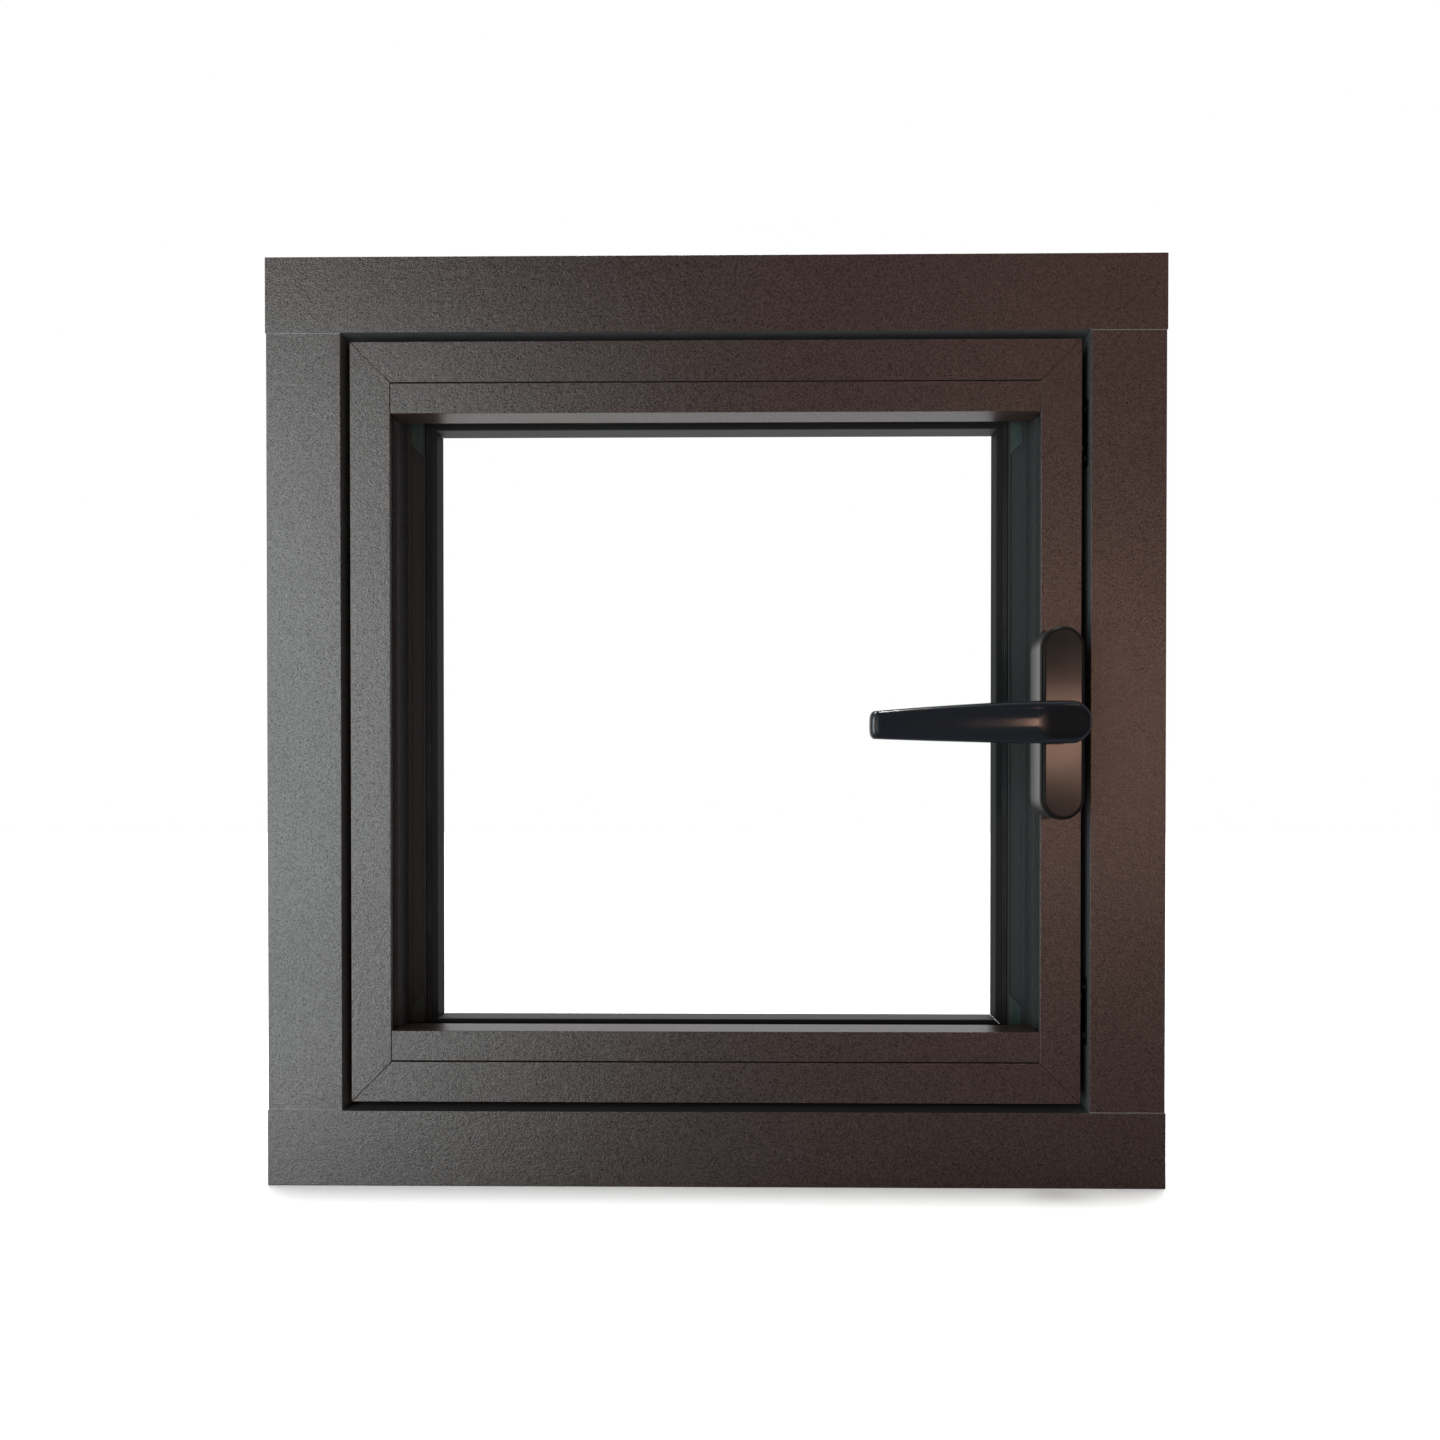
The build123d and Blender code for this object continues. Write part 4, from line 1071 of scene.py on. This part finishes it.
# ---- studio ----
def area_light(name, place, aim, size, watts, colour=(1, 1, 1)):
    """A rectangular soft light."""
    lamp = bpy.data.lights.new(name, "AREA")
    lamp.shape = "RECTANGLE"
    lamp.size, lamp.size_y = size
    lamp.energy = watts
    lamp.color = colour
    obj = bpy.data.objects.new(name, lamp)
    obj.location = place
    obj.rotation_mode = "QUATERNION"
    obj.rotation_quaternion = (Vector(aim) - Vector(place)).to_track_quat("-Z", "Y")
    bpy.context.scene.collection.objects.link(obj)
    return obj


def studio_world():
    """White to the camera, dark behind it and bright beyond the window for the light."""
    world = bpy.data.worlds.new("studio")
    world.use_nodes = True
    tree = world.node_tree
    tree.nodes.clear()
    out = tree.nodes.new("ShaderNodeOutputWorld")
    seen = node(tree, "ShaderNodeBackground", Strength=1.0)
    seen.inputs["Color"].default_value = (1, 1, 1, 1)
    light = tree.nodes.new("ShaderNodeBackground")
    tree.links.new(spread(tree, axes_of(tree, "Generated")["Y"], -0.35, 0.75, 0.05, 1.3),
                   light.inputs["Strength"])
    path = tree.nodes.new("ShaderNodeLightPath")
    mix = tree.nodes.new("ShaderNodeMixShader")
    tree.links.new(path.outputs["Is Camera Ray"], mix.inputs[0])
    tree.links.new(light.outputs[0], mix.inputs[1])
    tree.links.new(seen.outputs[0], mix.inputs[2])
    tree.links.new(mix.outputs[0], out.inputs["Surface"])
    bpy.context.scene.world = world


def studio_floor(colour):
    """A pale floor, lit so evenly that only contact shadows show."""
    m, tree, bsdf = new_material("floor_pale")
    bsdf.inputs["Base Color"].default_value = (*colour, 1.0)
    bsdf.inputs["Roughness"].default_value = 1.0
    bsdf.inputs["Specular IOR Level"].default_value = 0.0
    bsdf.inputs["Emission Color"].default_value = (1, 1, 1, 1)
    bsdf.inputs["Emission Strength"].default_value = 0.02
    s = 4.0
    floor = mesh_object("floor", [(-s, -s, 0), (s, -s, 0), (s, s, 0), (-s, s, 0)],
                        [(0, 1, 2, 3)], m, smooth=False)
    floor.visible_glossy = False
    floor.visible_shadow = False
    floor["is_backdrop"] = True


class WINDOW_OT_stage(bpy.types.Operator):
    """Set up the floor, the lights, the world and the camera"""

    bl_idname = "window.stage"
    bl_label = "Studio and camera"

    def execute(self, context):
        s = context.scene.window_stage
        context.scene.view_settings.view_transform = "Standard"
        studio_world()
        studio_floor(s.floor_colour)
        area_light("softbox_left", (-1.2, -1.64, 0.3), (0, 0, 0.32), (1.0, 2.06), s.softbox,
                   (0.89, 1.0, 1.0))
        area_light("warm_lamp", (0.86, -1.9, 0.37), (0.2, 0, 0.31), (0.38, 0.2), s.warm,
                   (1.0, 0.57, 0.42))
        area_light("warm_lamp_high", (0.9, -1.72, 1.5), (0.2, 0, 0.31), (0.32, 0.07),
                   s.warm * 0.22, (1.0, 0.6, 0.48))
        area_light("top_light", (0, 0.1, 2.2), (0, 0, 0), (2.4, 2.0), s.top)
        sun = bpy.data.lights.new("overhead_sun", "SUN")
        sun.energy = s.sun
        sun.angle = math.radians(8)
        high = bpy.data.objects.new("overhead_sun", sun)
        high.rotation_euler = (math.radians(-2.5), 0, 0)
        context.scene.collection.objects.link(high)
        blockers = bpy.data.collections.new("sun_blockers")
        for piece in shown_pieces():
            if not piece.name.startswith("handle"):
                blockers.objects.link(piece)
        high.light_linking.blocker_collection = blockers
        camera = bpy.data.cameras.new("camera")
        camera.sensor_width = 36.0
        camera.lens = s.lens
        camera.shift_x, camera.shift_y = s.shift
        camera.dof.use_dof = False
        obj = bpy.data.objects.new("camera", camera)
        obj.location = s.eye
        obj.rotation_euler = (math.pi / 2 - s.dip, 0, s.turn)
        context.scene.collection.objects.link(obj)
        context.scene.camera = obj
        return {"FINISHED"}


# ---- add-on ----
STEPS = (
    WINDOW_OT_profiles, WINDOW_OT_seals, WINDOW_OT_corners, WINDOW_OT_hinges,
    WINDOW_OT_lock, WINDOW_OT_base, WINDOW_OT_lever, WINDOW_OT_screws, WINDOW_OT_stage,
)
SETTINGS = {
    "window_stage": StageSettings,
    "window_coat": CoatSettings,
    "window_lever": LeverSettings,
    "window_screws": ScrewSettings,
}


class WINDOW_PT_panel(bpy.types.Panel):
    """Steps and settings of the casement window"""

    bl_label = "Casement Window"
    bl_idname = "WINDOW_PT_panel"
    bl_space_type = "VIEW_3D"
    bl_region_type = "UI"
    bl_category = "Window"

    def draw(self, context):
        column = self.layout.column(align=True)
        for step in STEPS:
            column.operator(step.bl_idname)
        for label, kind in SETTINGS.items():
            box = self.layout.box()
            box.label(text=kind.__doc__)
            for key in kind.__annotations__:
                box.prop(getattr(context.scene, label), key)


def register():
    """Add the classes and the scene's settings."""
    for kind in (*SETTINGS.values(), *STEPS, WINDOW_PT_panel):
        bpy.utils.register_class(kind)
    for label, kind in SETTINGS.items():
        setattr(bpy.types.Scene, label, PointerProperty(type=kind))


def unregister():
    """Take the settings and the classes away again."""
    for label in SETTINGS:
        delattr(bpy.types.Scene, label)
    for kind in reversed((*SETTINGS.values(), *STEPS, WINDOW_PT_panel)):
        bpy.utils.unregister_class(kind)


def main():
    """Run every step in order."""
    register()
    for step in STEPS:
        family, action = step.bl_idname.split(".")
        getattr(getattr(bpy.ops, family), action)()


if __name__ == "__main__":
    main()
